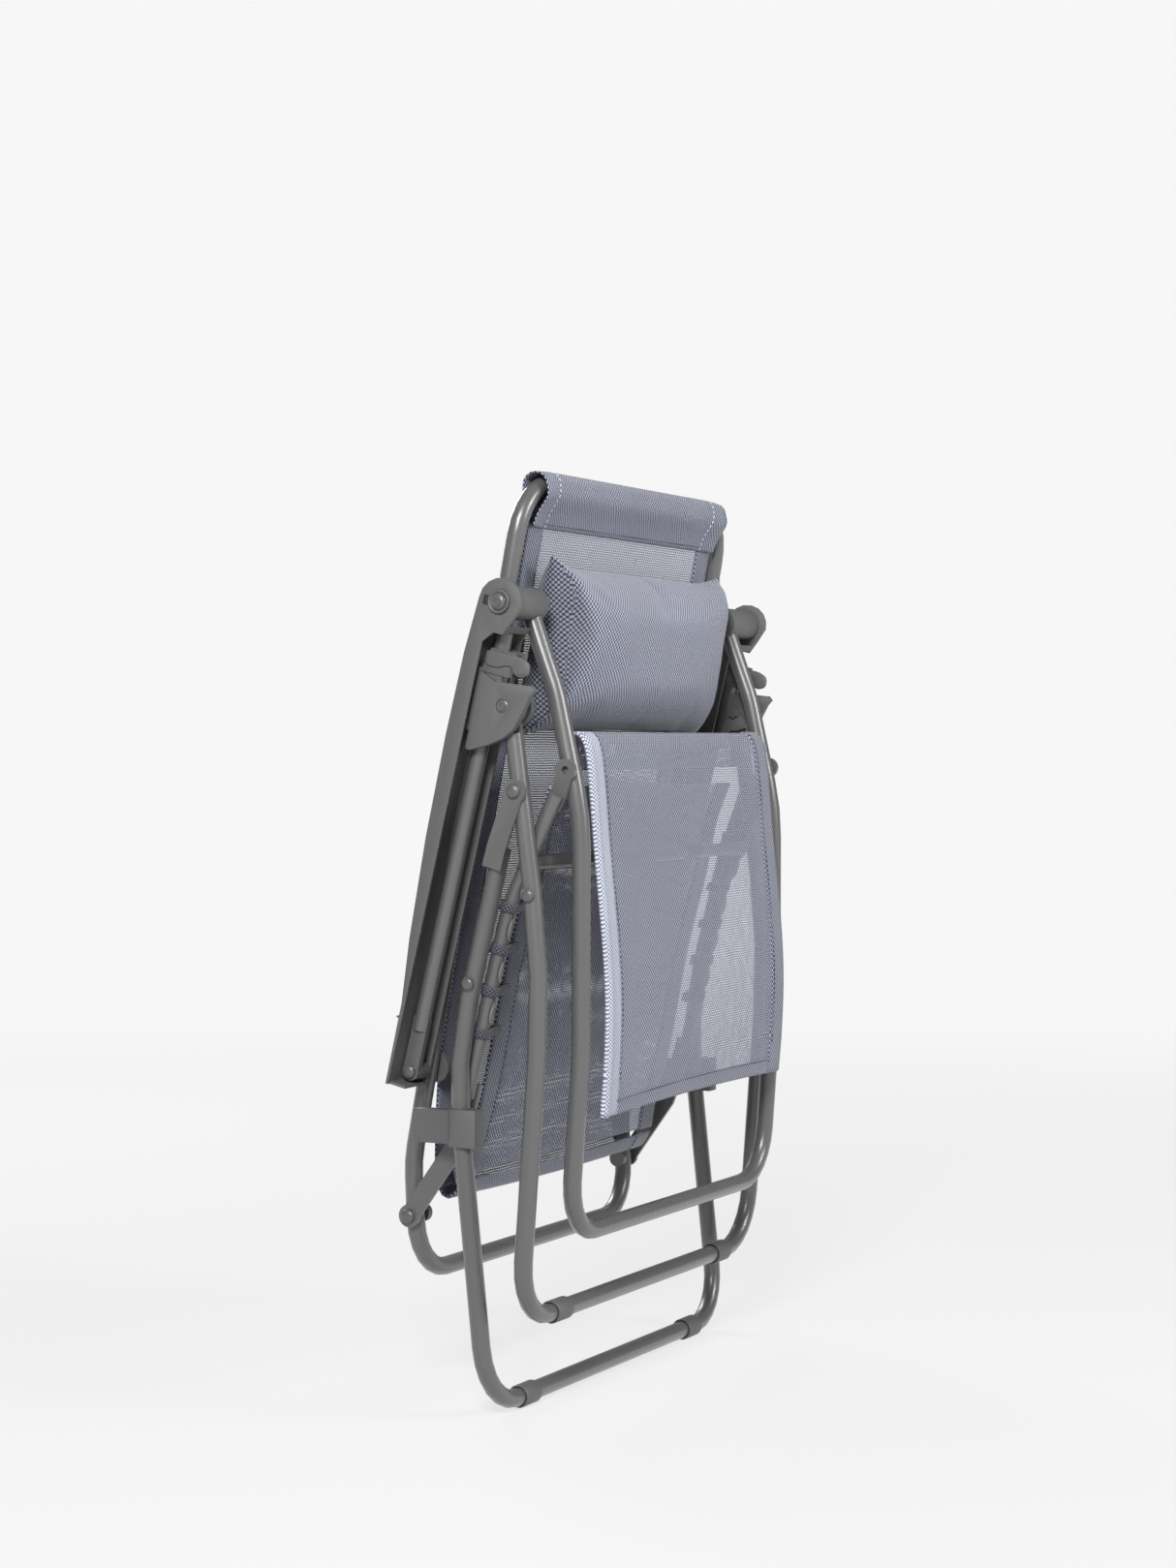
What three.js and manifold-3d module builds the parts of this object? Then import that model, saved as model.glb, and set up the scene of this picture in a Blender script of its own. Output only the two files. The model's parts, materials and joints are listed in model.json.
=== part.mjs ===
// Folding zero-gravity lounge chair, standing folded.
// Millimetres, +Z up, X across the chair (-X is its left side), -Y is the side the legrest faces.
// The side profile is given as [y, z] points in the folded position.
import * as THREE from "three";
import { mergeVertices } from "three/addons/utils/BufferGeometryUtils.js";
import Module from "manifold-3d";

const wasm = await Module();
wasm.setup();

// ---- driving dimensions ----
const LEG_TUBE_D = 20; // leg, backrest and legrest tube
const GUIDE_TUBE_D = 17.5; // tube inside each armrest
const RAIL_TUBE_D = 16; // seat side rails
const CROSS_TUBE_D = 16; // tube joining the seat rails
const LEG_HALF_WIDTH = 300; // centre plane of the two leg frames and of the armrests
const ARM_GAP = 3; // armrests to the frames inside them
const LEG_BEND_R = 65; // floor corners of the leg frames
const FRAME_BEND_R = 60; // corners of the backrest and legrest frames
const PLATE_T = 5; // pressed flat links
const TONGUE_T = 4; // pressed flat ends of the rear leg frame
const BLADE_T = 8; // pressed flat ends of the front leg frame
const FIT = 0.3; // gap between pieces that touch
const RUN = 1; // gap between pieces that move past each other
const RIVET_D = 8;
const RIVET_HEAD_D = 14;
const RIVET_HEAD_T = 3;
const PIVOT_CAP_D = 34; // domed cap on the inner end of the armrest's rear pivot
const HIP_CAP_D = 20;
const HIP_CAP_T = 8;
const PIVOT_CAP_T = 6;
const PIVOT_BUSH_D = 20; // spacer bush between armrest wall and guide tube
const BOLT_D = 8;
const BOLT_HEAD_D = 13;
const BOLT_HEAD_T = 4;
const FOOT_WALL = 2.5; // foot sleeve wall
const FOOT_LENGTH = 34;
const FOOT_INSET = 88; // foot sleeve centre from the leg tube's centre plane
const ARM_WIDTH = 54;
const ARM_WALL = 3;
const ARM_LIP = 8; // how far the armrest's sides stand in front of the guide tube's axis
const ARM_HEAD_R = 25;
const ARM_TAIL = 15; // armrest past the rear rivet
const KNUCKLE_R = 18;
const KNUCKLE_IN = 3; // knuckle past the inner side of the legrest tube's axis
const BLOCK_HALF_LENGTH = 34; // clamp block along the guide tube
const BLOCK_WALL = 6; // clamp block around the guide tube
const BLOCK_LOBE_R = 22; // clamp block around the front leg's bolt
const BLOCK_CHEEK = 9;
// outline of the clamp block's outer housing round its bolt, [along, behind] the armrest
const BLOCK_WING = [[-30, 32.5], [-23, 14], [-26, -14], [-28, -28], [-24, -33], [-17, -29], [2, -24], [21, -18], [33, -8], [44, 8], [54, 28], [53, 32.5]];
const BLOCK_WING_T = 9;
const ARM_WINDOW = 11; // the armrest's outer wall ends this far behind the guide tube's axis
const LEVER_BARREL_R = 7;
const LEVER_PIN_D = 5;
const LEVER_REACH = 42;
const LEVER_T = 5;
const LEVER_UP = 50; // lever pin past the bolt, along the guide tube
const COLLAR_WALL = 3.5;
const COLLAR_HEIGHT = 40;
const COLLAR_Z = 310;
const COLLAR_TAIL = 46;
const COLLAR_NOSE = 22;
const FABRIC_T = 5; // soft panels
const FABRIC_SIDE_GAP = 13; // soft panels to the tubes beside them
const SLEEVE_WALL = 2.5;
const SLEEVE_END_GAP = 8; // sleeve to the start of the top corners
const CUSHION_T = 54;
const CUSHION_HALF_WIDTH = 214;
const CUSHION_BACK_GAP = 10; // cushion to the backrest's plane
const CUSHION_Z = [740, 914];
const CUSHION_ROUND = 16;

// ---- pivots, [y, z] ----
const ARM_FRONT_PIVOT = [12, 866]; // armrest head to legrest frame
const ARM_REAR_PIVOT = [133, 367]; // armrest tail to backrest frame
const BLOCK_PIVOT = [13, 757]; // clamp block to front leg frame
const LEG_PIVOT = [2, 668]; // rear leg frame to front leg frame
const SEAT_PIVOT = [-13, 559]; // seat rail's bolt on the front leg frame
const REAR_LEG_PIN = [58.4, 464];
const HIP_PIVOT = [150.6, 207]; // seat rail to backrest frame
const KNEE_PIVOT = [-38.5, 690]; // seat rail to legrest frame

// ---- tube runs, [y, z] and corner radius ----
const REAR_LEG_RUN = [[23.5, 608, 0], [80.1, 378.4, 400]];
const REAR_LEG_FLOOR = [42, 12.5];
const FRONT_LEG_RUN = [[9.3, 728, 0], [-24.1, 474.6, 880]];
const FRONT_LEG_FLOOR = [3, 107];
const LEGREST_RUN = [[12, 862, 0], [-20, 772, 150], [-50, 640, 300], [-49.5, 390, 500]];
const LEGREST_FOOT = [-35, 195];
const BACK_TOP = [17, 999];
const BACK_JOIN = [122.2, 435.5]; // where the backrest's two tubes meet
const BACK_LOWER_Z = 265; // the backrest's side line turns here towards the hip bar
const BACK_LOWER_R = 150;
const BACK_FOOT = [148, 142];
const RAIL_RUN = [[76, 340, 0], [52, 440, 250], [26, 545, 200], [-30, 664, 0]];
const RAIL_LINK = [[84, 318], [98, 280]]; // pressed link below the rail, down to the hip pivot
const CROSS_TUBE_AT = [-2, 592];
const BACK_PANEL_TOP = 38; // top of the back panel below the top tube's axis
const BACK_PANEL_RUN = [[135, 366], [138, 238]];
const SEAT_PANEL_RUN = [[97, 284], [78, 352], [54, 470], [30, 560], [18, 612]];
const LEG_PANEL_RUN = [[-38, 708], [-57, 610], [-69, 450], [-64, 328]];

// ---- derived values ----
const LEG_R = LEG_TUBE_D / 2;
const GUIDE_R = GUIDE_TUBE_D / 2;
const RAIL_R = RAIL_TUBE_D / 2;
// backrest and legrest tubes: clear of the armrests, and of the seat rails beside the legs
const INNER_X = LEG_HALF_WIDTH - Math.max(ARM_WIDTH / 2 + ARM_GAP, LEG_R + RAIL_TUBE_D + 4 * RUN) - LEG_R;
const LEG_IN = LEG_HALF_WIDTH - LEG_R; // inner side of the leg tubes
const LEG_OUT = LEG_HALF_WIDTH + LEG_R;
const INNER_OUT = INNER_X + LEG_R; // outer side of the backrest and legrest tubes
const LINK_IN = INNER_OUT + RUN;
const LINK_OUT = LINK_IN + PLATE_T;
const RAIL_X = LINK_IN + RUN + RAIL_R;
const SIDES = 14;

// ---- materials ----
const paint = (c = 0x55534f) => new THREE.MeshStandardMaterial({ color: c, roughness: 0.45, metalness: 0.35 });
const plastic = (c = 0x5c5b58) => new THREE.MeshStandardMaterial({ color: c, roughness: 0.6, metalness: 0 });
const steel = () => new THREE.MeshStandardMaterial({ color: 0x4a4947, roughness: 0.4, metalness: 0.8 });
const cloth = (c = 0x6f7894) => new THREE.MeshStandardMaterial({ color: c, roughness: 0.9, metalness: 0 });

// ---- small geometry helpers ----
const V = (x, y, z) => new THREE.Vector3(x, y, z);
const sub = (a, b) => [a[0] - b[0], a[1] - b[1]];
const add = (a, b, k = 1) => [a[0] + b[0] * k, a[1] + b[1] * k];
const len = (a) => Math.hypot(a[0], a[1]);
const unit = (a) => [a[0] / len(a), a[1] / len(a)];

function solid(geometry) {
  let g = geometry.clone();
  g.deleteAttribute("normal");
  g.deleteAttribute("uv");
  g = mergeVertices(g, 1e-4);
  return new wasm.Manifold(new wasm.Mesh({
    numProp: 3,
    vertProperties: new Float32Array(g.attributes.position.array),
    triVerts: new Uint32Array(g.index.array),
  }));
}

function geometryOf(manifold) {
  const m = manifold.getMesh();
  const g = new THREE.BufferGeometry();
  const n = m.numProp;
  const p = new Float32Array((m.vertProperties.length / n) * 3);
  for (let i = 0; i < p.length / 3; i++)
    for (let k = 0; k < 3; k++) p[i * 3 + k] = m.vertProperties[i * n + k];
  g.setAttribute("position", new THREE.BufferAttribute(p, 3));
  g.setIndex(new THREE.BufferAttribute(new Uint32Array(m.triVerts), 1));
  return g;
}

// A run of straight lengths with rounded corners; its points are spaced by the shape, not evenly.
class BentRun extends THREE.Curve {
  constructor(corners, stepDegrees = 15) {
    super();
    this.stops = [corners[0].p.clone()];
    for (let i = 1; i < corners.length - 1; i++) {
      const { p, r } = corners[i];
      const a = corners[i - 1].p.clone().sub(p).normalize();
      const b = corners[i + 1].p.clone().sub(p).normalize();
      const turn = Math.PI - a.angleTo(b);
      if (r <= 0 || turn < 1e-3) {
        this.stops.push(p.clone());
        continue;
      }
      const reach = r * Math.tan(turn / 2);
      const from = p.clone().addScaledVector(a, reach);
      const mid = a.clone().add(b).normalize();
      const centre = p.clone().addScaledVector(mid, Math.hypot(r, reach));
      const axis = new THREE.Vector3().crossVectors(b, a).normalize();
      const n = Math.max(2, Math.ceil((turn * 180) / Math.PI / stepDegrees));
      for (let k = 0; k <= n; k++)
        this.stops.push(from.clone().sub(centre).applyAxisAngle(axis, (turn * k) / n).add(centre));
    }
    this.stops.push(corners[corners.length - 1].p.clone());
    this.count = this.stops.length - 1;
  }
  getPointAt(u) {
    return this.stops[Math.round(u * this.count)].clone();
  }
  getPoint(u) {
    return this.getPointAt(u);
  }
  getTangentAt(u) {
    const i = Math.round(u * this.count);
    const t = new THREE.Vector3();
    if (i > 0) t.add(this.stops[i].clone().sub(this.stops[i - 1]).normalize());
    if (i < this.count) t.add(this.stops[i + 1].clone().sub(this.stops[i]).normalize());
    return t.normalize();
  }
}

function ring(radius, n = SIDES, flat = 1) {
  const pts = [];
  for (let i = 0; i < n; i++) {
    const a = (2 * Math.PI * (i + 0.5)) / n;
    pts.push(new THREE.Vector2(radius * Math.cos(a), radius * flat * Math.sin(a)));
  }
  return new THREE.Shape(pts);
}

function tube(corners, radius, n = SIDES) {
  const run = new BentRun(corners);
  return new THREE.ExtrudeGeometry(ring(radius, n), { steps: run.count, extrudePath: run });
}

// A cylinder along X from x0 to x1 through [y, z].
function rod(x0, x1, at, radius, n = 14) {
  const g = new THREE.CylinderGeometry(radius, radius, Math.abs(x1 - x0), n);
  g.rotateZ(Math.PI / 2);
  g.translate((x0 + x1) / 2, at[0], at[1]);
  return g;
}

// A flat piece of constant thickness along X from x0 to x1, with its outline in [y, z].
function slab(outline, x0, x1) {
  const shape = outline instanceof THREE.Shape ? outline : new THREE.Shape(outline.map((p) => new THREE.Vector2(p[0], p[1])));
  const g = new THREE.ExtrudeGeometry(shape, { depth: Math.abs(x1 - x0), bevelEnabled: false, curveSegments: 12 });
  // local x -> Y, local y -> Z, local z -> X
  g.applyMatrix4(new THREE.Matrix4().set(0, 0, 1, Math.min(x0, x1), 1, 0, 0, 0, 0, 1, 0, 0, 0, 0, 0, 1));
  return g;
}

function box(x0, x1, y0, y1, z0, z1) {
  return new THREE.BoxGeometry(x1 - x0, y1 - y0, z1 - z0).translate((x0 + x1) / 2, (y0 + y1) / 2, (z0 + z1) / 2);
}

// The outline of a strip of width w along a polyline, with square ends.
function strip(points, w) {
  const left = [], right = [];
  points.forEach((p, i) => {
    const a = points[Math.max(i - 1, 0)], b = points[Math.min(i + 1, points.length - 1)];
    const t = unit(sub(b, a));
    left.push([p[0] - (t[1] * w) / 2, p[1] + (t[0] * w) / 2]);
    right.push([p[0] + (t[1] * w) / 2, p[1] - (t[0] * w) / 2]);
  });
  return right.concat(left.reverse());
}

// A link outline: a strip with a round eye at its first point.
function disc(at, r, n = 20) {
  const pts = [];
  for (let i = 0; i < n; i++) pts.push([at[0] + r * Math.cos((2 * Math.PI * i) / n), at[1] + r * Math.sin((2 * Math.PI * i) / n)]);
  return pts;
}

function join(...geometries) {
  let s = solid(geometries[0]);
  for (const g of geometries.slice(1)) s = s.add(solid(g));
  return s;
}

function cut(s, ...geometries) {
  for (const g of geometries) s = s.subtract(solid(g));
  return s;
}

const chair = new THREE.Group();
function put(name, geometry, material) {
  const mesh = new THREE.Mesh(geometry.isBufferGeometry ? geometry : geometryOf(geometry), material);
  mesh.name = name;
  chair.add(mesh);
  return mesh;
}

// Runs a builder once for each side: s = -1 is the left, +1 the right.
function bothSides(build) {
  build(-1, "left");
  build(1, "right");
}
const span = (s, a, b) => [Math.min(s * a, s * b), Math.max(s * a, s * b)];
const sideSlab = (s, outline, a, b) => slab(outline, ...span(s, a, b));
const sideRod = (s, a, b, at, r, n) => rod(...span(s, a, b), at, r, n);

// A U frame: side runs of [y, z, radius] joined by a bar across.
function uFrame(side, foot, halfWidth, bend, radius) {
  const left = side.map(([y, z, r]) => ({ p: V(-halfWidth, y, z), r }));
  const right = side.map(([y, z, r]) => ({ p: V(halfWidth, y, z), r })).reverse();
  return tube([
    ...left,
    { p: V(-halfWidth, foot[0], foot[1]), r: bend },
    { p: V(halfWidth, foot[0], foot[1]), r: bend },
    ...right,
  ], radius);
}

// ---- rear leg frame: a U whose two ends are pressed into tongues ----
{
  let frame = solid(uFrame(REAR_LEG_RUN, REAR_LEG_FLOOR, LEG_HALF_WIDTH, LEG_BEND_R, LEG_R));
  const top = REAR_LEG_RUN[0];
  const t = unit(sub([REAR_LEG_RUN[1][0], REAR_LEG_RUN[1][1]], LEG_PIVOT));
  for (const s of [-1, 1]) {
    const low = add([top[0], top[1]], t, 22);
    const eye = sideSlab(s, disc(LEG_PIVOT, 13), LEG_OUT + FIT, LEG_OUT + FIT + TONGUE_T);
    const web = sideSlab(s, strip([LEG_PIVOT, [top[0], top[1]], low], 22), LEG_OUT + FIT, LEG_OUT + FIT + TONGUE_T);
    const foot = sideSlab(s, strip([add([top[0], top[1]], t, 3), low], 16), LEG_HALF_WIDTH, LEG_OUT + FIT + TONGUE_T);
    frame = frame.add(solid(eye)).add(solid(web)).add(solid(foot));
    frame = cut(frame,
      sideRod(s, LEG_OUT - 2, LEG_OUT + 12, LEG_PIVOT, RIVET_D / 2 + FIT),
      sideRod(s, LEG_IN - 2, LEG_OUT + 2, REAR_LEG_PIN, RIVET_D / 2 + FIT));
  }
  put("rear_leg_frame", frame, paint());
}

// ---- front leg frame: a U whose two ends are pressed into blades held by the clamp blocks ----
{
  let frame = solid(uFrame(FRONT_LEG_RUN, FRONT_LEG_FLOOR, LEG_HALF_WIDTH, LEG_BEND_R, LEG_R));
  const top = [FRONT_LEG_RUN[0][0], FRONT_LEG_RUN[0][1]];
  for (const s of [-1, 1]) {
    const x0 = LEG_HALF_WIDTH - BLADE_T / 2, x1 = LEG_HALF_WIDTH + BLADE_T / 2;
    const t = unit(sub(top, BLOCK_PIVOT));
    frame = frame
      .add(solid(sideSlab(s, disc(BLOCK_PIVOT, 11), x0, x1)))
      .add(solid(sideSlab(s, strip([BLOCK_PIVOT, top, add(top, t, 14)], 19), x0, x1)));
    frame = cut(frame,
      sideRod(s, x0 - 2, x1 + 2, BLOCK_PIVOT, BOLT_D / 2 + FIT),
      sideRod(s, LEG_IN - 2, LEG_OUT + 2, LEG_PIVOT, RIVET_D / 2 + FIT),
      sideRod(s, LEG_IN - 2, LEG_OUT + 2, SEAT_PIVOT, RIVET_D / 2 + FIT));
  }
  put("front_leg_frame", frame, paint());
}

// ---- legrest frame and the knuckles at its tops ----
const KNUCKLE_OUT = LEG_HALF_WIDTH + ARM_WIDTH / 2 - ARM_WALL * 2 - RUN;
const KNUCKLE_INNER = INNER_X - KNUCKLE_IN - LEG_R;
{
  let frame = solid(uFrame(LEGREST_RUN, LEGREST_FOOT, INNER_X, FRAME_BEND_R, LEG_R));
  for (const s of [-1, 1])
    frame = cut(frame,
      sideRod(s, KNUCKLE_INNER - 4, KNUCKLE_OUT + 4, ARM_FRONT_PIVOT, KNUCKLE_R + FIT, 28),
      sideRod(s, INNER_X - LEG_R - 2, INNER_OUT + 2, KNEE_PIVOT, BOLT_D / 2 + FIT));
  // keep only the piece below the knuckles
  const keep = frame.decompose().sort((a, b) => b.volume() - a.volume())[0];
  put("legrest_frame", keep, paint());
  bothSides((s, side) => {
    const drum = cut(
      join(sideRod(s, KNUCKLE_INNER, KNUCKLE_OUT, ARM_FRONT_PIVOT, KNUCKLE_R, 28)),
      sideRod(s, KNUCKLE_INNER - 1, KNUCKLE_OUT + 1, ARM_FRONT_PIVOT, BOLT_D / 2 + FIT));
    put("knuckle_" + side, drum, plastic(0x4d4c49));
    put("knee_bolt_" + side, join(
      sideRod(s, INNER_X - LEG_R - FIT - BOLT_HEAD_T, INNER_X - LEG_R - FIT, KNEE_PIVOT, BOLT_HEAD_D / 2, 6),
      sideRod(s, INNER_X - LEG_R - FIT - 1, INNER_OUT, KNEE_PIVOT, BOLT_D / 2)), steel());
  });
}

// ---- backrest frame: an upper hoop and a lower hip hoop, joined end to end ----
{
  const slope = unit(sub(BACK_JOIN, BACK_TOP));
  const upperEnd = add(BACK_JOIN, slope, -FIT / 2), lowerEnd = add(BACK_JOIN, slope, FIT / 2);
  const across = (p, x) => V(x, p[0], p[1]);
  let upper = solid(tube([
    { p: across(upperEnd, -INNER_X), r: 0 },
    { p: across(BACK_TOP, -INNER_X), r: FRAME_BEND_R },
    { p: across(BACK_TOP, INNER_X), r: FRAME_BEND_R },
    { p: across(upperEnd, INNER_X), r: 0 },
  ], LEG_R));
  put("backrest_hoop", upper, paint());
  let lower = solid(uFrame([[lowerEnd[0], lowerEnd[1], 0], [...add(BACK_JOIN, slope, (BACK_LOWER_Z - BACK_JOIN[1]) / slope[1]), BACK_LOWER_R]], BACK_FOOT, INNER_X, FRAME_BEND_R, LEG_R));
  for (const s of [-1, 1])
    lower = cut(lower,
      sideRod(s, INNER_X - LEG_R - 2, INNER_OUT + 2, ARM_REAR_PIVOT, RIVET_D / 2 + FIT),
      sideRod(s, INNER_X - LEG_R - 2, INNER_OUT + 2, HIP_PIVOT, RIVET_D / 2 + FIT));
  put("hip_hoop", lower, paint());
}

// ---- seat rails, pressed links and cross tube ----
bothSides((s, side) => {
  const corners = RAIL_RUN.map(([y, z, r]) => ({ p: V(s * RAIL_X, y, z), r }));
  const start = [RAIL_RUN[0][0], RAIL_RUN[0][1]];
  const second = [RAIL_RUN[1][0], RAIL_RUN[1][1]];
  const end = [RAIL_RUN.at(-1)[0], RAIL_RUN.at(-1)[1]];
  const before = [RAIL_RUN.at(-2)[0], RAIL_RUN.at(-2)[1]];
  let rail = solid(tube(corners, RAIL_R, 16));
  const up = unit(sub(second, start)), on = unit(sub(end, before));
  // lower pressed link
  rail = rail
    .add(solid(sideSlab(s, disc(HIP_PIVOT, 12.5), LINK_IN, LINK_OUT)))
    .add(solid(sideSlab(s, strip([HIP_PIVOT, RAIL_LINK[1], RAIL_LINK[0], start, add(start, up, 16)], 21), LINK_IN, LINK_OUT)));
  // upper pressed eye
  rail = rail
    .add(solid(sideSlab(s, disc(KNEE_PIVOT, 12), LINK_IN, LINK_OUT)))
    .add(solid(sideSlab(s, strip([add(end, on, -16), end, KNEE_PIVOT], 18), LINK_IN, LINK_OUT)));
  rail = cut(rail,
    sideRod(s, LINK_IN - 1, LINK_OUT + 1, HIP_PIVOT, RIVET_D / 2 + FIT),
    sideRod(s, LINK_IN - 1, LINK_OUT + 1, KNEE_PIVOT, BOLT_D / 2 + FIT));
  put("seat_rail_" + side, rail, paint());
  put("hip_rivet_" + side, join(
    sideRod(s, LINK_OUT + FIT, LINK_OUT + FIT + RIVET_HEAD_T, HIP_PIVOT, RIVET_HEAD_D / 2),
    sideRod(s, INNER_X - LEG_R - RUN - 1, LINK_OUT + FIT + 1, HIP_PIVOT, RIVET_D / 2),
    sideRod(s, INNER_X - LEG_R - RUN - HIP_CAP_T, INNER_X - LEG_R - RUN, HIP_PIVOT, HIP_CAP_D / 2)), steel());
});
{
  // the cross tube ends against the rails' inner sides
  let bar = solid(rod(-RAIL_X, RAIL_X, CROSS_TUBE_AT, CROSS_TUBE_D / 2, 16));
  for (const s of [-1, 1]) {
    const corners = RAIL_RUN.map(([y, z, r]) => ({ p: V(s * RAIL_X, y, z), r }));
    bar = bar.subtract(solid(tube(corners, RAIL_R + FIT, 16)))
             .subtract(solid(box(...span(s, RAIL_X - 1, RAIL_X + 30), -100, 200, 300, 800)));
  }
  bar = bar.decompose().sort((a, b) => b.volume() - a.volume())[0];
  put("seat_cross_tube", bar, paint());
}

// ---- armrests, guide tubes, clamp blocks and levers ----
const along = unit(sub(ARM_REAR_PIVOT, ARM_FRONT_PIVOT)); // from the head to the tail
const behind = [-along[1], along[0]]; // towards the armrest's top face
const ARM_LENGTH = len(sub(ARM_REAR_PIVOT, ARM_FRONT_PIVOT));
const armPoint = (a, d) => add(add(ARM_FRONT_PIVOT, along, a), behind, d);
const armCoords = (p) => {
  const v = sub(p, ARM_FRONT_PIVOT);
  return [v[0] * along[0] + v[1] * along[1], v[0] * behind[0] + v[1] * behind[1]];
};
// height of the armrest's top face over the guide axis, from head to tail
const ARM_CROWN = [[0, ARM_HEAD_R], [60, 29], [150, 30], [260, 28], [370, 22], [440, 15]];
const ARM_TAIL_RISE = 14;
{
  const crown = [...ARM_CROWN, [ARM_LENGTH + ARM_TAIL, ARM_TAIL_RISE]];
  const outer = [];
  for (let i = 0; i <= 8; i++) { // rounded head
    const a = Math.PI / 2 + (Math.PI * i) / 8;
    outer.push(armPoint(ARM_HEAD_R * Math.cos(a), ARM_HEAD_R * Math.sin(a)));
  }
  const neck = armPoint(ARM_HEAD_R + 14, -ARM_LIP);
  const lip = armPoint(ARM_LENGTH + ARM_TAIL, -ARM_LIP);
  const outline = [...outer, armPoint(ARM_HEAD_R * 0.7, -ARM_HEAD_R * 0.72), neck, lip,
    ...crown.slice(1).reverse().map(([a, d]) => armPoint(a, d))];
  const hollow = [
    armPoint(ARM_HEAD_R + 6, -ARM_LIP - 40), armPoint(ARM_LENGTH + ARM_TAIL - ARM_WALL, -ARM_LIP - 40),
    ...crown.slice(1).reverse().map(([a, d]) => armPoint(Math.min(a, ARM_LENGTH + ARM_TAIL - ARM_WALL), d - ARM_WALL)),
    armPoint(ARM_HEAD_R + 6, ARM_HEAD_R)];
  bothSides((s, side) => {
    const x0 = LEG_HALF_WIDTH - ARM_WIDTH / 2, x1 = LEG_HALF_WIDTH + ARM_WIDTH / 2;
    let arm = cut(join(sideSlab(s, outline.slice().reverse(), x0, x1)),
      sideSlab(s, hollow.slice().reverse(), x0 + ARM_WALL, x1 - ARM_WALL),
      // room for the knuckle inside the head
      sideRod(s, x0 - 2, KNUCKLE_OUT + RUN, ARM_FRONT_PIVOT, ARM_HEAD_R + 3, 28),
      sideRod(s, x0 - 2, x1 + 2, ARM_FRONT_PIVOT, BOLT_D / 2 + FIT),
      sideRod(s, x0 - 2, x0 + ARM_WALL + 2, ARM_REAR_PIVOT, RIVET_D / 2 + FIT),
      // the outer wall is open in front of the guide tube
      sideSlab(s, [armPoint(ARM_HEAD_R + 8, -ARM_LIP - 40), armPoint(ARM_LENGTH + ARM_TAIL + 10, -ARM_LIP - 40),
        armPoint(ARM_LENGTH + ARM_TAIL + 10, ARM_WINDOW), armPoint(ARM_HEAD_R + 20, ARM_WINDOW), armPoint(ARM_HEAD_R + 8, 0)], x1 - ARM_WALL - 1, x1 + 1));
    arm = arm.decompose().sort((a, b) => b.volume() - a.volume())[0];
    put("armrest_" + side, arm, plastic());

    // head bolt: through the head and the knuckle
    put("head_bolt_" + side, join(
      sideRod(s, x1 + FIT, x1 + FIT + BOLT_HEAD_T, ARM_FRONT_PIVOT, BOLT_HEAD_D / 2),
      sideRod(s, KNUCKLE_INNER - FIT - 1, x1 + FIT + 1, ARM_FRONT_PIVOT, BOLT_D / 2),
      sideRod(s, KNUCKLE_INNER - FIT - BOLT_HEAD_T, KNUCKLE_INNER - FIT, ARM_FRONT_PIVOT, BOLT_HEAD_D / 2)), steel());

    // guide tube: round, with a flattened tail
    const g0 = armPoint(ARM_HEAD_R + 6 + RUN, 0), g1 = armPoint(ARM_LENGTH - 46, 0);
    let guide = solid(tube([{ p: V(s * LEG_HALF_WIDTH, ...g0), r: 0 }, { p: V(s * LEG_HALF_WIDTH, ...g1), r: 0 }], GUIDE_R));
    const fl = [LEG_HALF_WIDTH - 4, LEG_HALF_WIDTH + 4];
    guide = guide
      .add(solid(sideSlab(s, strip([armPoint(ARM_LENGTH - 60, 0), ARM_REAR_PIVOT], GUIDE_TUBE_D), ...fl)))
      .add(solid(sideSlab(s, disc(ARM_REAR_PIVOT, GUIDE_R + 1), ...fl)));
    guide = cut(guide, sideRod(s, fl[0] - 2, fl[1] + 2, ARM_REAR_PIVOT, RIVET_D / 2 + FIT));
    put("guide_tube_" + side, guide, paint());

    // rear rivet: guide tail and armrest side to the backrest frame
    put("arm_rivet_" + side, join(
      sideRod(s, fl[1] + FIT, fl[1] + FIT + RIVET_HEAD_T, ARM_REAR_PIVOT, RIVET_HEAD_D / 2),
      sideRod(s, INNER_X - LEG_R - FIT - 1, fl[1] + FIT + 1, ARM_REAR_PIVOT, RIVET_D / 2),
      sideRod(s, x0 + ARM_WALL + FIT, fl[0] - FIT, ARM_REAR_PIVOT, PIVOT_BUSH_D / 2),
      sideRod(s, INNER_X - LEG_R - FIT - PIVOT_CAP_T, INNER_X - LEG_R - FIT, ARM_REAR_PIVOT, PIVOT_CAP_D / 2)), steel());

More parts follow.
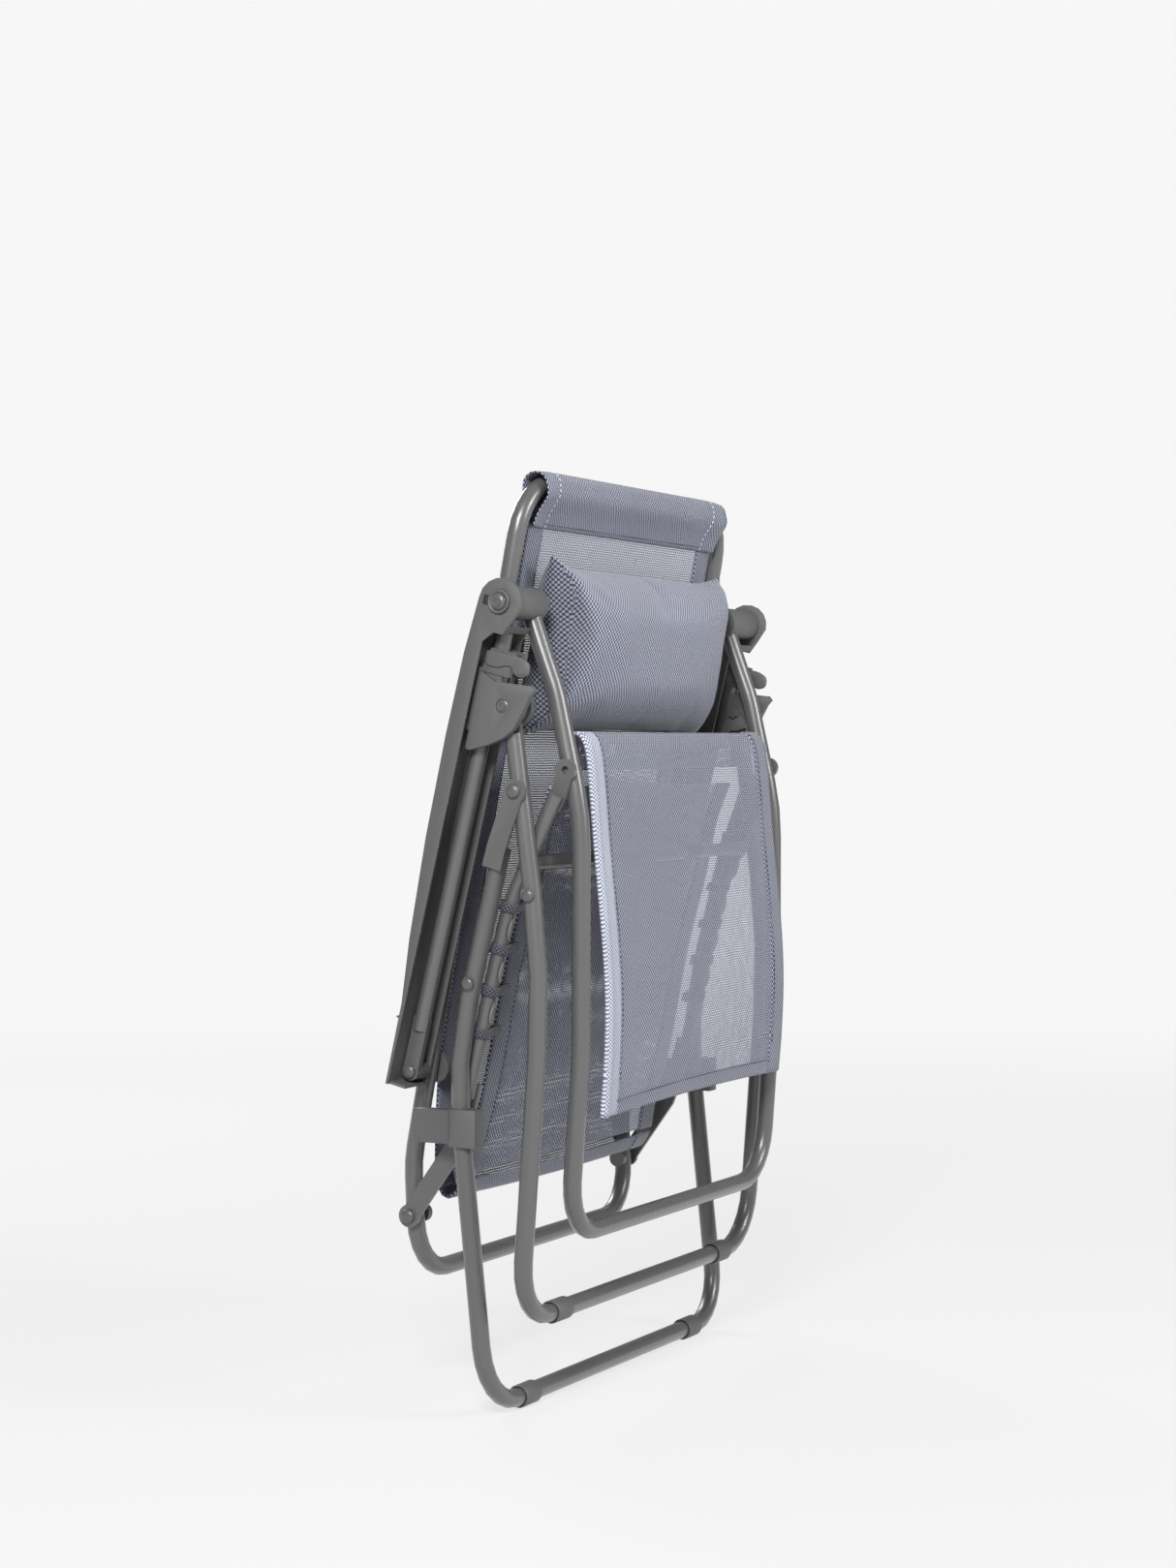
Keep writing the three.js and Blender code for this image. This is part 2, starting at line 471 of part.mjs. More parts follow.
    // clamp block: a collar on the guide tube and two cheeks on the front leg's blade
    const [ka, kd] = armCoords(BLOCK_PIVOT);
    const bw = GUIDE_R + BLOCK_WALL;
    const half = BLADE_T / 2 + 0.6;
    const cheek = half + BLOCK_CHEEK;
    const collar = sideSlab(s, [armPoint(ka - BLOCK_HALF_LENGTH, -bw), armPoint(ka + BLOCK_HALF_LENGTH, -bw),
      armPoint(ka + BLOCK_HALF_LENGTH, bw), armPoint(ka - BLOCK_HALF_LENGTH, bw)], LEG_HALF_WIDTH - bw, LEG_HALF_WIDTH + bw);
    const lobe = sideSlab(s, disc(BLOCK_PIVOT, BLOCK_LOBE_R, 24), LEG_HALF_WIDTH - cheek, LEG_HALF_WIDTH + cheek);
    const neckB = sideSlab(s, [armPoint(ka - BLOCK_LOBE_R, kd), armPoint(ka + BLOCK_LOBE_R, kd),
      armPoint(ka + BLOCK_HALF_LENGTH - 2, -bw + 2), armPoint(ka - BLOCK_LOBE_R, -bw + 2)], LEG_HALF_WIDTH - cheek, LEG_HALF_WIDTH + cheek);
    const pinAt = armPoint(ka - LEVER_UP, -GUIDE_R - LEVER_BARREL_R - 1.5);
    const earW = 6, earIn = 10;
    const ear = (a, b) => sideSlab(s, [armPoint(ka - LEVER_UP - 6.5, -GUIDE_R - 2 * LEVER_BARREL_R - 1), armPoint(ka - BLOCK_HALF_LENGTH + 4, -GUIDE_R - 2 * LEVER_BARREL_R - 1),
      armPoint(ka - BLOCK_HALF_LENGTH + 4, bw - 4), armPoint(ka - LEVER_UP - 6.5, 4)], a, b);
    const wing = sideSlab(s, BLOCK_WING.map(([a, d]) => armPoint(ka + a, kd + d)), LEG_HALF_WIDTH + LEG_R + RUN, LEG_HALF_WIDTH + LEG_R + RUN + BLOCK_WING_T);
    let block = join(collar, lobe, neckB, wing,
      ear(LEG_HALF_WIDTH - earIn - earW, LEG_HALF_WIDTH - earIn), ear(LEG_HALF_WIDTH + earIn, LEG_HALF_WIDTH + earIn + earW));
    const bore = tube([{ p: V(s * LEG_HALF_WIDTH, ...armPoint(ka - 90, 0)), r: 0 }, { p: V(s * LEG_HALF_WIDTH, ...armPoint(ka + 90, 0)), r: 0 }], GUIDE_R + 0.5);
    const slot = sideSlab(s, [armPoint(ka - 60, kd - 60), armPoint(ka + 60, kd - 60), armPoint(ka + 60, kd + 12), armPoint(ka - 60, kd + 12)],
      LEG_HALF_WIDTH - half, LEG_HALF_WIDTH + half);
    block = cut(block, bore, slot,
      // recess round the bolt's head
      sideRod(s, LEG_HALF_WIDTH + cheek, LEG_HALF_WIDTH + LEG_R + RUN + BLOCK_WING_T + 1, BLOCK_PIVOT, BOLT_HEAD_D / 2 + RUN),
      sideRod(s, LEG_HALF_WIDTH - cheek - 2, LEG_HALF_WIDTH + cheek + 2, BLOCK_PIVOT, BOLT_D / 2 + FIT),
      sideRod(s, LEG_HALF_WIDTH - 30, LEG_HALF_WIDTH + 30, pinAt, LEVER_PIN_D / 2 + FIT));
    block = block.decompose().sort((a, b) => b.volume() - a.volume())[0];
    put("clamp_block_" + side, block, plastic(0x565552));
    put("block_bolt_" + side, join(
      sideRod(s, LEG_HALF_WIDTH + cheek + FIT, LEG_HALF_WIDTH + cheek + FIT + BOLT_HEAD_T, BLOCK_PIVOT, BOLT_HEAD_D / 2, 6),
      sideRod(s, LEG_HALF_WIDTH - cheek - FIT - 1, LEG_HALF_WIDTH + cheek + FIT + 1, BLOCK_PIVOT, BOLT_D / 2),
      sideRod(s, LEG_HALF_WIDTH - cheek - FIT - BOLT_HEAD_T, LEG_HALF_WIDTH - cheek - FIT, BLOCK_PIVOT, BOLT_HEAD_D / 2, 6)), steel());

    // locking lever: a barrel on its pin and a finger tab
    const armOut = [-1, -0.12];
    const tabEnd = add(pinAt, unit(armOut), LEVER_REACH);
    const lever = join(
      sideRod(s, LEG_HALF_WIDTH - earIn + 0.5, LEG_HALF_WIDTH + earIn - 0.5, pinAt, LEVER_BARREL_R),
      sideRod(s, LEG_HALF_WIDTH - earIn - earW, LEG_HALF_WIDTH + earIn + earW, pinAt, LEVER_PIN_D / 2, 14),
      sideSlab(s, strip([pinAt, tabEnd], LEVER_T), LEG_HALF_WIDTH - earIn + 0.5, LEG_HALF_WIDTH + earIn - 0.5),
      sideRod(s, LEG_HALF_WIDTH - earIn + 0.5, LEG_HALF_WIDTH + earIn + 5, tabEnd, LEVER_T * 0.8),
      sideSlab(s, strip([add(pinAt, unit(armOut), LEVER_REACH - 14), add(tabEnd, [0, -7])], LEVER_T), LEG_HALF_WIDTH - earIn + 0.5, LEG_HALF_WIDTH + earIn + 5));
    put("lock_lever_" + side, lever, plastic(0x615f5b));
  });
}

// ---- rivets on the leg frames ----
bothSides((s, side) => {
  const tongueOut = LEG_OUT + FIT + TONGUE_T;
  put("leg_rivet_" + side, join(
    sideRod(s, tongueOut + FIT, tongueOut + FIT + RIVET_HEAD_T, LEG_PIVOT, RIVET_HEAD_D / 2),
    sideRod(s, LEG_IN - 0.2, tongueOut + FIT + 1, LEG_PIVOT, RIVET_D / 2)), steel());
  put("seat_bolt_" + side, join(
    sideRod(s, LEG_OUT + FIT, LEG_OUT + FIT + RIVET_HEAD_T, SEAT_PIVOT, RIVET_HEAD_D / 2),
    sideRod(s, LEG_IN - 0.2, LEG_OUT + FIT + 1, SEAT_PIVOT, RIVET_D / 2)), steel());
  put("rear_leg_rivet_" + side, join(
    sideRod(s, LEG_OUT + FIT, LEG_OUT + FIT + RIVET_HEAD_T, REAR_LEG_PIN, RIVET_HEAD_D / 2),
    sideRod(s, LEG_IN - 0.2, LEG_OUT + FIT + 1, REAR_LEG_PIN, RIVET_D / 2)), steel());
});

// ---- collars that hold the backrest frame against the rear leg when folded ----
bothSides((s, side) => {
  // the rear leg tube's centre at the collar's height
  const run = new BentRun([...REAR_LEG_RUN.map(([y, z, r]) => ({ p: V(0, y, z), r })), { p: V(0, ...REAR_LEG_FLOOR), r: 0 }], 2);
  const centreY = (z) => {
    const i = run.stops.findIndex((p) => p.z < z);
    const a = run.stops[i - 1], b = run.stops[i];
    return a.y + ((b.y - a.y) * (z - a.z)) / (b.z - a.z);
  };
  const z0 = COLLAR_Z - COLLAR_HEIGHT / 2, z1 = COLLAR_Z + COLLAR_HEIGHT / 2;
  const y = centreY(COLLAR_Z);
  const r = LEG_R + FIT + COLLAR_WALL;
  const barrel = new THREE.CylinderGeometry(r, r, COLLAR_HEIGHT, 24).rotateX(Math.PI / 2).translate(s * LEG_HALF_WIDTH, y, COLLAR_Z);
  const tail = box(...span(s, LEG_HALF_WIDTH - LEG_R - 0.5, LEG_HALF_WIDTH + 4), y, y + LEG_R + COLLAR_TAIL, z0 + 2, z1 - 2);
  const nose = box(...span(s, LEG_HALF_WIDTH - 6, LEG_HALF_WIDTH + r), y - LEG_R - COLLAR_NOSE + 8, y, z0, z1);
  let collar = join(barrel, tail, nose);
  collar = cut(collar, uFrame(REAR_LEG_RUN, REAR_LEG_FLOOR, LEG_HALF_WIDTH, LEG_BEND_R, LEG_R + FIT * 2));
  // flat inner side, clear of the seat rail
  collar = cut(collar, box(...span(s, LEG_IN - 40, LEG_IN - 0.4), y - 80, y + 90, z0 - 5, z1 + 5));
  collar = collar.decompose().sort((a, b) => b.volume() - a.volume())[0];
  put("collar_" + side, collar, plastic(0x5a5955));
});

// ---- foot sleeves ----
for (const [name, foot] of [["rear", REAR_LEG_FLOOR], ["front", FRONT_LEG_FLOOR]])
  bothSides((s, side) => {
    const x = LEG_HALF_WIDTH - FOOT_INSET;
    put("foot_" + name + "_" + side, cut(
      join(sideRod(s, x - FOOT_LENGTH / 2, x + FOOT_LENGTH / 2, foot, LEG_R + FOOT_WALL, 24)),
      sideRod(s, x - FOOT_LENGTH, x + FOOT_LENGTH, foot, LEG_R + FIT * 0.8, 24)), plastic(0x4b4a48));
  });

// ---- soft pieces ----
const panelHalf = INNER_X - LEG_R - FABRIC_SIDE_GAP;
const backSlope = unit(sub(BACK_JOIN, BACK_TOP));
put("back_panel", slab(strip([add(BACK_TOP, backSlope, BACK_PANEL_TOP), ...BACK_PANEL_RUN], FABRIC_T), -panelHalf, panelHalf), cloth());
put("seat_panel", slab(strip(SEAT_PANEL_RUN, FABRIC_T), -panelHalf, panelHalf), cloth());
put("legrest_panel", slab(strip(LEG_PANEL_RUN, FABRIC_T), -panelHalf, panelHalf), cloth());
{
  const x = INNER_X - FRAME_BEND_R - SLEEVE_END_GAP;
  put("top_sleeve", cut(join(rod(-x, x, BACK_TOP, LEG_R + FIT + SLEEVE_WALL, 24)), rod(-x - 2, x + 2, BACK_TOP, LEG_R + FIT, 24)), cloth(0x8a93ad));
}
{
  // headrest cushion, parallel to the backrest's plane
  const slope = unit(sub(BACK_JOIN, BACK_TOP));
  const front = [slope[1], -slope[0]];
  const at = (z) => add(BACK_TOP, slope, (z - BACK_TOP[1]) / slope[1]);
  const a = at(CUSHION_Z[1]), b = at(CUSHION_Z[0]);
  const near = CUSHION_BACK_GAP, far = CUSHION_BACK_GAP + CUSHION_T, r = CUSHION_ROUND;
  const P = (base, off, k) => add(add(base, front, off), slope, k);
  const outline = [P(a, near, 0), P(b, near, 0), P(b, far - r, 0), P(b, far, -r), P(a, far, r), P(a, far - r, 0)];
  put("headrest_cushion", slab(outline, -CUSHION_HALF_WIDTH, CUSHION_HALF_WIDTH), cloth(0x7a84a3));
}

// the origin is on the floor, under the middle of the folded chair
const extent = new THREE.Box3().setFromObject(chair);
chair.position.set(0, -(extent.min.y + extent.max.y) / 2, -extent.min.z);

export default chair;
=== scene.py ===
"""Folding lounge chair, standing folded: fabric, padding, hardware details and finishes over the fixed frame."""

import json
import math

import bmesh
import bpy
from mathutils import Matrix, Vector

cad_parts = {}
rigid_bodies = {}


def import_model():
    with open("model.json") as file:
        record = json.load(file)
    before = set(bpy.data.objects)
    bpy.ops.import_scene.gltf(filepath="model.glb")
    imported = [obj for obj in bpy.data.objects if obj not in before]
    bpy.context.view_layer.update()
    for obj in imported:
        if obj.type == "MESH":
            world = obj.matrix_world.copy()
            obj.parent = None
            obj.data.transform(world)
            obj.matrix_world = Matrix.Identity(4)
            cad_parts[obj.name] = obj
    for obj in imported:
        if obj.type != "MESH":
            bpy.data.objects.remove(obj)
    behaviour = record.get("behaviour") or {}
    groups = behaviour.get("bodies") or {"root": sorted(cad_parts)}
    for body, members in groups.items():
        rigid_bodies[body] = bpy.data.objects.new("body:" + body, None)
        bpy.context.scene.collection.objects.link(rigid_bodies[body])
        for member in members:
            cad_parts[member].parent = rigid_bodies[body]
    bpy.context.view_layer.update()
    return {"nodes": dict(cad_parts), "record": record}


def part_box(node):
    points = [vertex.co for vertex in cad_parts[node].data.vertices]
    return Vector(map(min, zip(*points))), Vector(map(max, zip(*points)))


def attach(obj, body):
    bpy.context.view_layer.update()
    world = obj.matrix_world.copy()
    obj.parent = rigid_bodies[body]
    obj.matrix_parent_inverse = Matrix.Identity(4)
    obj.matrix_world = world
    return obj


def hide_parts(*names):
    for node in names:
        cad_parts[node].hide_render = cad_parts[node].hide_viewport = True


bl_info = {
    "name": "Folding Lounge Chair",
    "version": (1, 0, 0),
    "blender": (4, 5, 0),
    "location": "View3D > Sidebar > Lounge Chair",
    "description": "Mesh sling, headrest cushion, hardware and finishes of a folding lounge chair",
    "category": "Object",
}

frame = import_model()
NODES = frame["nodes"]

SIDES = (("left", -1), ("right", 1))
# side runs of the frames, as (y, z) in metres
BACK_SLOPE = ((-0.0288, 0.999), (0.0764, 0.4355))
RAIL_RUN = ((0.0302, 0.340), (0.0062, 0.440), (-0.0198, 0.545), (-0.0758, 0.664))
ARM_FRONT = (-0.0338, 0.866)
ARM_REAR = (0.0872, 0.367)
# half widths of the sling's panels, and how far its stitches stand in front of the hems
SLING_HALF = 0.237
LEGREST_HALF = 0.240
STITCH_FRONT = -0.0020
# lacing of the seat rails: x of the rail, its radius, the stretch of z it covers, and the strap's reach and width
RAIL_X, RAIL_RADIUS, LACING_Z, STRAP_REACH, STRAP_WIDTH = 0.280, 0.0086, (0.41, 0.63), 0.031, 0.0105
CLIP_HALF_LENGTH, CLIP_HALF_WIDTH, CLIP_RISE = 0.0115, 0.0048, 0.0018
# stage: the light level of floor and background, the camera's place in metres and its turn in degrees
BACKDROP = 0.93
CAMERA_AT, CAMERA_YAW, CAMERA_DIP = (-3.112, -1.515, 0.708), 63.67, 0.59
LAMP_AIM = (0, 0, 0.6)


# ---------------------------------------------------------------- settings


class ChairFrameFinish(bpy.types.PropertyGroup):
    paint: bpy.props.FloatVectorProperty(
        name="Frame paint", description="Powder coat of the tubes", subtype="COLOR", size=3, default=(0.078, 0.078, 0.078))
    plastic: bpy.props.FloatVectorProperty(
        name="Moulded plastic", description="Armrests, clamps, levers and collars",
        subtype="COLOR", size=3, default=(0.086, 0.086, 0.086))
    fixings: bpy.props.FloatVectorProperty(
        name="Fixings", description="Bolts and rivets", subtype="COLOR", size=3, default=(0.080, 0.080, 0.080))
    edge_round: bpy.props.FloatProperty(
        name="Moulded edge", description="Rounding of the moulded pieces' edges", default=0.0011, unit="LENGTH")


class ChairFabric(bpy.types.PropertyGroup):
    pale_thread: bpy.props.FloatVectorProperty(
        name="Pale thread", description="Light thread of the weave", subtype="COLOR", size=3, default=(0.375, 0.395, 0.485))
    dark_thread: bpy.props.FloatVectorProperty(
        name="Dark thread", description="Dark thread of the weave", subtype="COLOR", size=3, default=(0.014, 0.016, 0.060))
    thread_pitch: bpy.props.FloatProperty(
        name="Thread pitch", description="Distance from thread to thread", default=0.0027, unit="LENGTH")
    hem_width: bpy.props.FloatProperty(
        name="Hem width", description="Width of the doubled side hems", default=0.034, unit="LENGTH")
    thickness: bpy.props.FloatProperty(
        name="Cloth thickness", description="Thickness of one layer of the sling", default=0.0012, unit="LENGTH")
    strap_pitch: bpy.props.FloatProperty(
        name="Lacing pitch", description="Distance between lacing straps along a tube", default=0.045, unit="LENGTH")


class ChairPadding(bpy.types.PropertyGroup):
    pressure: bpy.props.FloatProperty(name="Filling pressure", description="How hard the headrest is filled", default=4.0)
    swell: bpy.props.FloatProperty(
        name="Most swell", description="How far a point of the cover may move", default=0.024, unit="LENGTH")
    crown: bpy.props.FloatProperty(
        name="Crown", description="Thickness of the pillow at its middle", default=0.051, unit="LENGTH")


class ChairHardware(bpy.types.PropertyGroup):
    rivet_head: bpy.props.FloatProperty(name="Rivet head",
        description="Radius of a domed rivet head", default=0.0072, unit="LENGTH")
    screw_head: bpy.props.FloatProperty(name="Screw head",
        description="Radius of a socket screw's head", default=0.0088, unit="LENGTH")
    rib_pitch: bpy.props.FloatProperty(name="Rib pitch",
        description="Distance between the armrest's ribs", default=0.047, unit="LENGTH")


class ChairStage(bpy.types.PropertyGroup):
    floor: bpy.props.FloatVectorProperty(name="Floor", description="Colour of the floor",
        subtype="COLOR", size=3, default=(0.14, 0.14, 0.14))
    key_power: bpy.props.FloatProperty(
        name="Key light", description="Power of the large soft light", default=205.0, unit="POWER")
    spill: bpy.props.FloatProperty(name="Spill",
        description="Part of the floor's light that comes from the lamps near the chair", default=0.205)
    ambient: bpy.props.FloatProperty(name="Ambient", description="Strength of the light from all round", default=0.24)
    focal_length: bpy.props.FloatProperty(name="Focal length", description="Camera lens in millimetres", default=69.3)


# ---------------------------------------------------------------- shader groups and materials


def link(tree, a, b):
    tree.links.new(a, b)


def math_node(tree, operation, a, b=None):
    n = tree.nodes.new("ShaderNodeMath")
    n.operation = operation
    for socket, value in ((n.inputs[0], a), (n.inputs[1], b)):
        if value is None:
            continue
        if isinstance(value, (int, float)):
            socket.default_value = value
        else:
            link(tree, value, socket)
    return n.outputs[0]


def toned(tree, colour, tone):
    """The colour times a factor, as a node's output."""
    n = tree.nodes.new("ShaderNodeVectorMath")
    n.operation = "SCALE"
    link(tree, colour, n.inputs[0])
    link(tree, tone, n.inputs[3])
    return n.outputs[0]


def group_sockets(tree, inputs, outputs):
    for name, kind, default in inputs:
        s = tree.interface.new_socket(name=name, in_out="INPUT", socket_type=kind)
        if default is not None:
            s.default_value = default
    for name, kind in outputs:
        tree.interface.new_socket(name=name, in_out="OUTPUT", socket_type=kind)
    return tree.nodes.new("NodeGroupInput"), tree.nodes.new("NodeGroupOutput")


def weave_group():
    """Plain weave: which thread is on top, how high it stands and where the open holes are; its colour gets painted
    shade where the threads dip between crossings.
    """
    name = "Chair weave"
    if name in bpy.data.node_groups:
        return bpy.data.node_groups[name]
    t = bpy.data.node_groups.new(name, "ShaderNodeTree")
    gi, go = group_sockets(
        t,
        [("Place", "NodeSocketVector", None), ("Pitch", "NodeSocketFloat", 0.0021),
         ("Pale", "NodeSocketColor", (0.5, 0.5, 0.6, 1)),
         ("Dark", "NodeSocketColor", (0.05, 0.05, 0.15, 1)), ("Hole size", "NodeSocketFloat", 0.3)],
        [("Color", "NodeSocketColor"), ("Height", "NodeSocketFloat"), ("Cover", "NodeSocketFloat")])
    sep = t.nodes.new("ShaderNodeSeparateXYZ")
    link(t, gi.outputs["Place"], sep.inputs[0])
    wobble = t.nodes.new("ShaderNodeTexNoise")
    wobble.inputs["Scale"].default_value = 60
    wobble.inputs["Detail"].default_value = 1
    link(t, gi.outputs["Place"], wobble.inputs["Vector"])
    shift = math_node(t, "MULTIPLY", math_node(t, "SUBTRACT", wobble.outputs["Fac"], 0.5), 0.6)
    u = math_node(t, "ADD", math_node(t, "DIVIDE", sep.outputs[0], gi.outputs["Pitch"]), shift)
    v = math_node(t, "ADD", math_node(t, "DIVIDE", sep.outputs[1], gi.outputs["Pitch"]), shift)
    su = math_node(t, "SINE", math_node(t, "MULTIPLY", u, math.pi))
    sv = math_node(t, "SINE", math_node(t, "MULTIPLY", v, math.pi))
    hu = math_node(t, "ABSOLUTE", su)
    hv = math_node(t, "ABSOLUTE", sv)
    over = math_node(t, "GREATER_THAN", math_node(t, "MULTIPLY", su, sv), 0.0)
    top = t.nodes.new("ShaderNodeMix")
    top.data_type = "FLOAT"
    link(t, over, top.inputs[0])
    link(t, hu, top.inputs[2])
    link(t, hv, top.inputs[3])
    colour = t.nodes.new("ShaderNodeMix")
    colour.data_type = "RGBA"
    link(t, over, colour.inputs[0])
    link(t, gi.outputs["Pale"], colour.inputs[6])
    link(t, gi.outputs["Dark"], colour.inputs[7])
    low = math_node(t, "MAXIMUM", hu, hv)
    cover = math_node(t, "GREATER_THAN", low, gi.outputs["Hole size"])
    patch = t.nodes.new("ShaderNodeTexNoise")
    patch.inputs["Scale"].default_value = 9
    patch.inputs["Detail"].default_value = 3
    link(t, gi.outputs["Place"], patch.inputs["Vector"])
    shade = math_node(t, "ADD", math_node(t, "MULTIPLY", patch.outputs["Fac"], 0.22), 0.89)
    # painted shade: the colour is darkened where the top thread dips between crossings
    painted_groove_shade = math_node(t, "ADD", math_node(t, "MULTIPLY", top.outputs[0], 0.35), 0.68)
    tone = math_node(t, "MULTIPLY", shade, painted_groove_shade)
    link(t, toned(t, colour.outputs[2], tone), go.inputs["Color"])
    link(t, top.outputs[0], go.inputs["Height"])
    link(t, cover, go.inputs["Cover"])
    return t


def grain_group():
    """Fine moulded or sprayed grain with slow patches, dusty or darker places, and a painted highlight that lightens
    sharp convex edges.
    """
    name = "Chair grain"
    if name in bpy.data.node_groups:
        return bpy.data.node_groups[name]
    t = bpy.data.node_groups.new(name, "ShaderNodeTree")
    gi, go = group_sockets(
        t,
        [("Base", "NodeSocketColor", (0.1, 0.1, 0.1, 1)), ("Grain scale", "NodeSocketFloat", 900.0),
         ("Patch", "NodeSocketFloat", 0.12),
         ("Roughness", "NodeSocketFloat", 0.45)],
        [("Color", "NodeSocketColor"), ("Roughness", "NodeSocketFloat"), ("Height", "NodeSocketFloat")])
    place = t.nodes.new("ShaderNodeTexCoord")
    fine = t.nodes.new("ShaderNodeTexNoise")
    fine.inputs["Detail"].default_value = 2
    link(t, place.outputs["Object"], fine.inputs["Vector"])
    link(t, gi.outputs["Grain scale"], fine.inputs["Scale"])
    slow = t.nodes.new("ShaderNodeTexNoise")
    slow.inputs["Scale"].default_value = 7
    slow.inputs["Detail"].default_value = 4
    link(t, place.outputs["Object"], slow.inputs["Vector"])
    geometry = t.nodes.new("ShaderNodeNewGeometry")
    edge = t.nodes.new("ShaderNodeMapRange")
    edge.inputs[1].default_value = 0.52
    edge.inputs[2].default_value = 0.62
    link(t, geometry.outputs["Pointiness"], edge.inputs[0])
    # painted highlight: sharp convex edges (high pointiness) are made lighter
    painted_edge_highlight = math_node(t, "MULTIPLY", edge.outputs[0], 0.16)
    patch = math_node(t, "MULTIPLY", math_node(t, "SUBTRACT", slow.outputs["Fac"], 0.5), gi.outputs["Patch"])
    speck = math_node(t, "MULTIPLY", math_node(t, "SUBTRACT", fine.outputs["Fac"], 0.5), 0.14)
    tone = math_node(t, "ADD", math_node(t, "ADD", math_node(t, "ADD", patch, speck), painted_edge_highlight), 1.0)
    link(t, toned(t, gi.outputs["Base"], tone), go.inputs["Color"])
    uneven = math_node(t, "MULTIPLY", math_node(t, "SUBTRACT", slow.outputs["Fac"], 0.5), 0.2)
    link(t, math_node(t, "ADD", gi.outputs["Roughness"], uneven), go.inputs["Roughness"])
    link(t, fine.outputs["Fac"], go.inputs["Height"])
    return t


def new_material(name):
    m = bpy.data.materials.new(name)
    m.use_nodes = True
    return m, m.node_tree, m.node_tree.nodes["Principled BSDF"]


def grained(name, colour, roughness, scale, bump, coat=0.0, metallic=0.0):
    if name in bpy.data.materials:
        return bpy.data.materials[name]
    m, t, shader = new_material(name)
    g = t.nodes.new("ShaderNodeGroup")
    g.node_tree = grain_group()
    g.inputs["Base"].default_value = (*colour, 1)
    g.inputs["Grain scale"].default_value = scale
    g.inputs["Roughness"].default_value = roughness
    link(t, g.outputs["Color"], shader.inputs["Base Color"])
    link(t, g.outputs["Roughness"], shader.inputs["Roughness"])
    b = t.nodes.new("ShaderNodeBump")
    b.inputs["Strength"].default_value = bump
    b.inputs["Distance"].default_value = 0.0004
    link(t, g.outputs["Height"], b.inputs["Height"])
    link(t, b.outputs[0], shader.inputs["Normal"])
    shader.inputs["Coat Weight"].default_value = coat
    shader.inputs["Coat Roughness"].default_value = 0.35
    shader.inputs["Metallic"].default_value = metallic
    return m


def woven(name, pale, dark, pitch, holes, bump=0.7, attribute=True, sheen=0.25):
    """Coated weave. With attribute, threads follow the cloth's own width and length; without, they follow its faces,
    and the faces turned to the sides get painted shade.
    """
    if name in bpy.data.materials:
        return bpy.data.materials[name]
    m, t, shader = new_material(name)
    if attribute:
        place = t.nodes.new("ShaderNodeAttribute")
        place.attribute_name = "weave"
        vector = place.outputs["Vector"]
    else:
        coord = t.nodes.new("ShaderNodeTexCoord")
        xyz = t.nodes.new("ShaderNodeSeparateXYZ")
        link(t, coord.outputs["Object"], xyz.inputs[0])
        normal = t.nodes.new("ShaderNodeSeparateXYZ")
        link(t, coord.outputs["Normal"], normal.inputs[0])
        side = math_node(t, "GREATER_THAN", math_node(t, "ABSOLUTE", normal.outputs[0]), 0.62)
        # how far a face turns to the side, which sets the painted shade on the flanks
        lean = t.nodes.new("ShaderNodeMapRange")
        lean.inputs[1].default_value, lean.inputs[2].default_value = 0.22, 0.50
        link(t, math_node(t, "ABSOLUTE", normal.outputs[0]), lean.inputs[0])
        painted_flank_shade = lean.outputs[0]
        across = t.nodes.new("ShaderNodeMix")
        across.data_type = "FLOAT"
        link(t, side, across.inputs[0])
        link(t, xyz.outputs[0], across.inputs[2])
        link(t, xyz.outputs[1], across.inputs[3])
        join = t.nodes.new("ShaderNodeCombineXYZ")
        link(t, across.outputs[0], join.inputs[0])
        link(t, xyz.outputs[2], join.inputs[1])
        vector = join.outputs[0]
    g = t.nodes.new("ShaderNodeGroup")
    g.node_tree = weave_group()
    g.inputs["Pitch"].default_value = pitch
    g.inputs["Pale"].default_value = (*pale, 1)
    g.inputs["Dark"].default_value = (*dark, 1)
    g.inputs["Hole size"].default_value = holes
    link(t, vector, g.inputs["Place"])
    if attribute:
        link(t, g.outputs["Color"], shader.inputs["Base Color"])
    else:
        # painted shade: faces whose normals turn to the sides are darkened
        shade = math_node(t, "SUBTRACT", 0.95, math_node(t, "MULTIPLY", painted_flank_shade, 0.45))
        link(t, toned(t, g.outputs["Color"], shade), shader.inputs["Base Color"])
    if holes > 0:
        link(t, g.outputs["Cover"], shader.inputs["Alpha"])
    b = t.nodes.new("ShaderNodeBump")
    b.inputs["Strength"].default_value = bump
    b.inputs["Distance"].default_value = 0.0006
    link(t, g.outputs["Height"], b.inputs["Height"])
    link(t, b.outputs[0], shader.inputs["Normal"])
    shader.inputs["Roughness"].default_value = 0.62
    shader.inputs["Sheen Weight"].default_value = sheen
    shader.inputs["Sheen Roughness"].default_value = 0.5
    return m


def settings():
    return bpy.context.scene


def share_of(colour, share):
    return tuple(min(1, c * share) for c in colour)


def paint_finish():
    return grained("Powder coat", tuple(settings().chair_frame.paint), 0.30, 700, 0.12, coat=0.7)


def plastic_finish():
    return grained("Moulded plastic", tuple(settings().chair_frame.plastic), 0.52, 1300, 0.3)


def fixing_finish():
    return grained("Coated fixings", tuple(settings().chair_frame.fixings), 0.36, 500, 0.1, coat=0.2)


def mesh_finish():
    f = settings().chair_fabric
    return woven("Sling mesh", tuple(f.pale_thread), tuple(f.dark_thread), f.thread_pitch, 0.70)


def hem_finish():
    f = settings().chair_fabric
    return woven("Doubled hem", share_of(f.pale_thread, 0.76), share_of(f.dark_thread, 0.9), f.thread_pitch, 0.0)


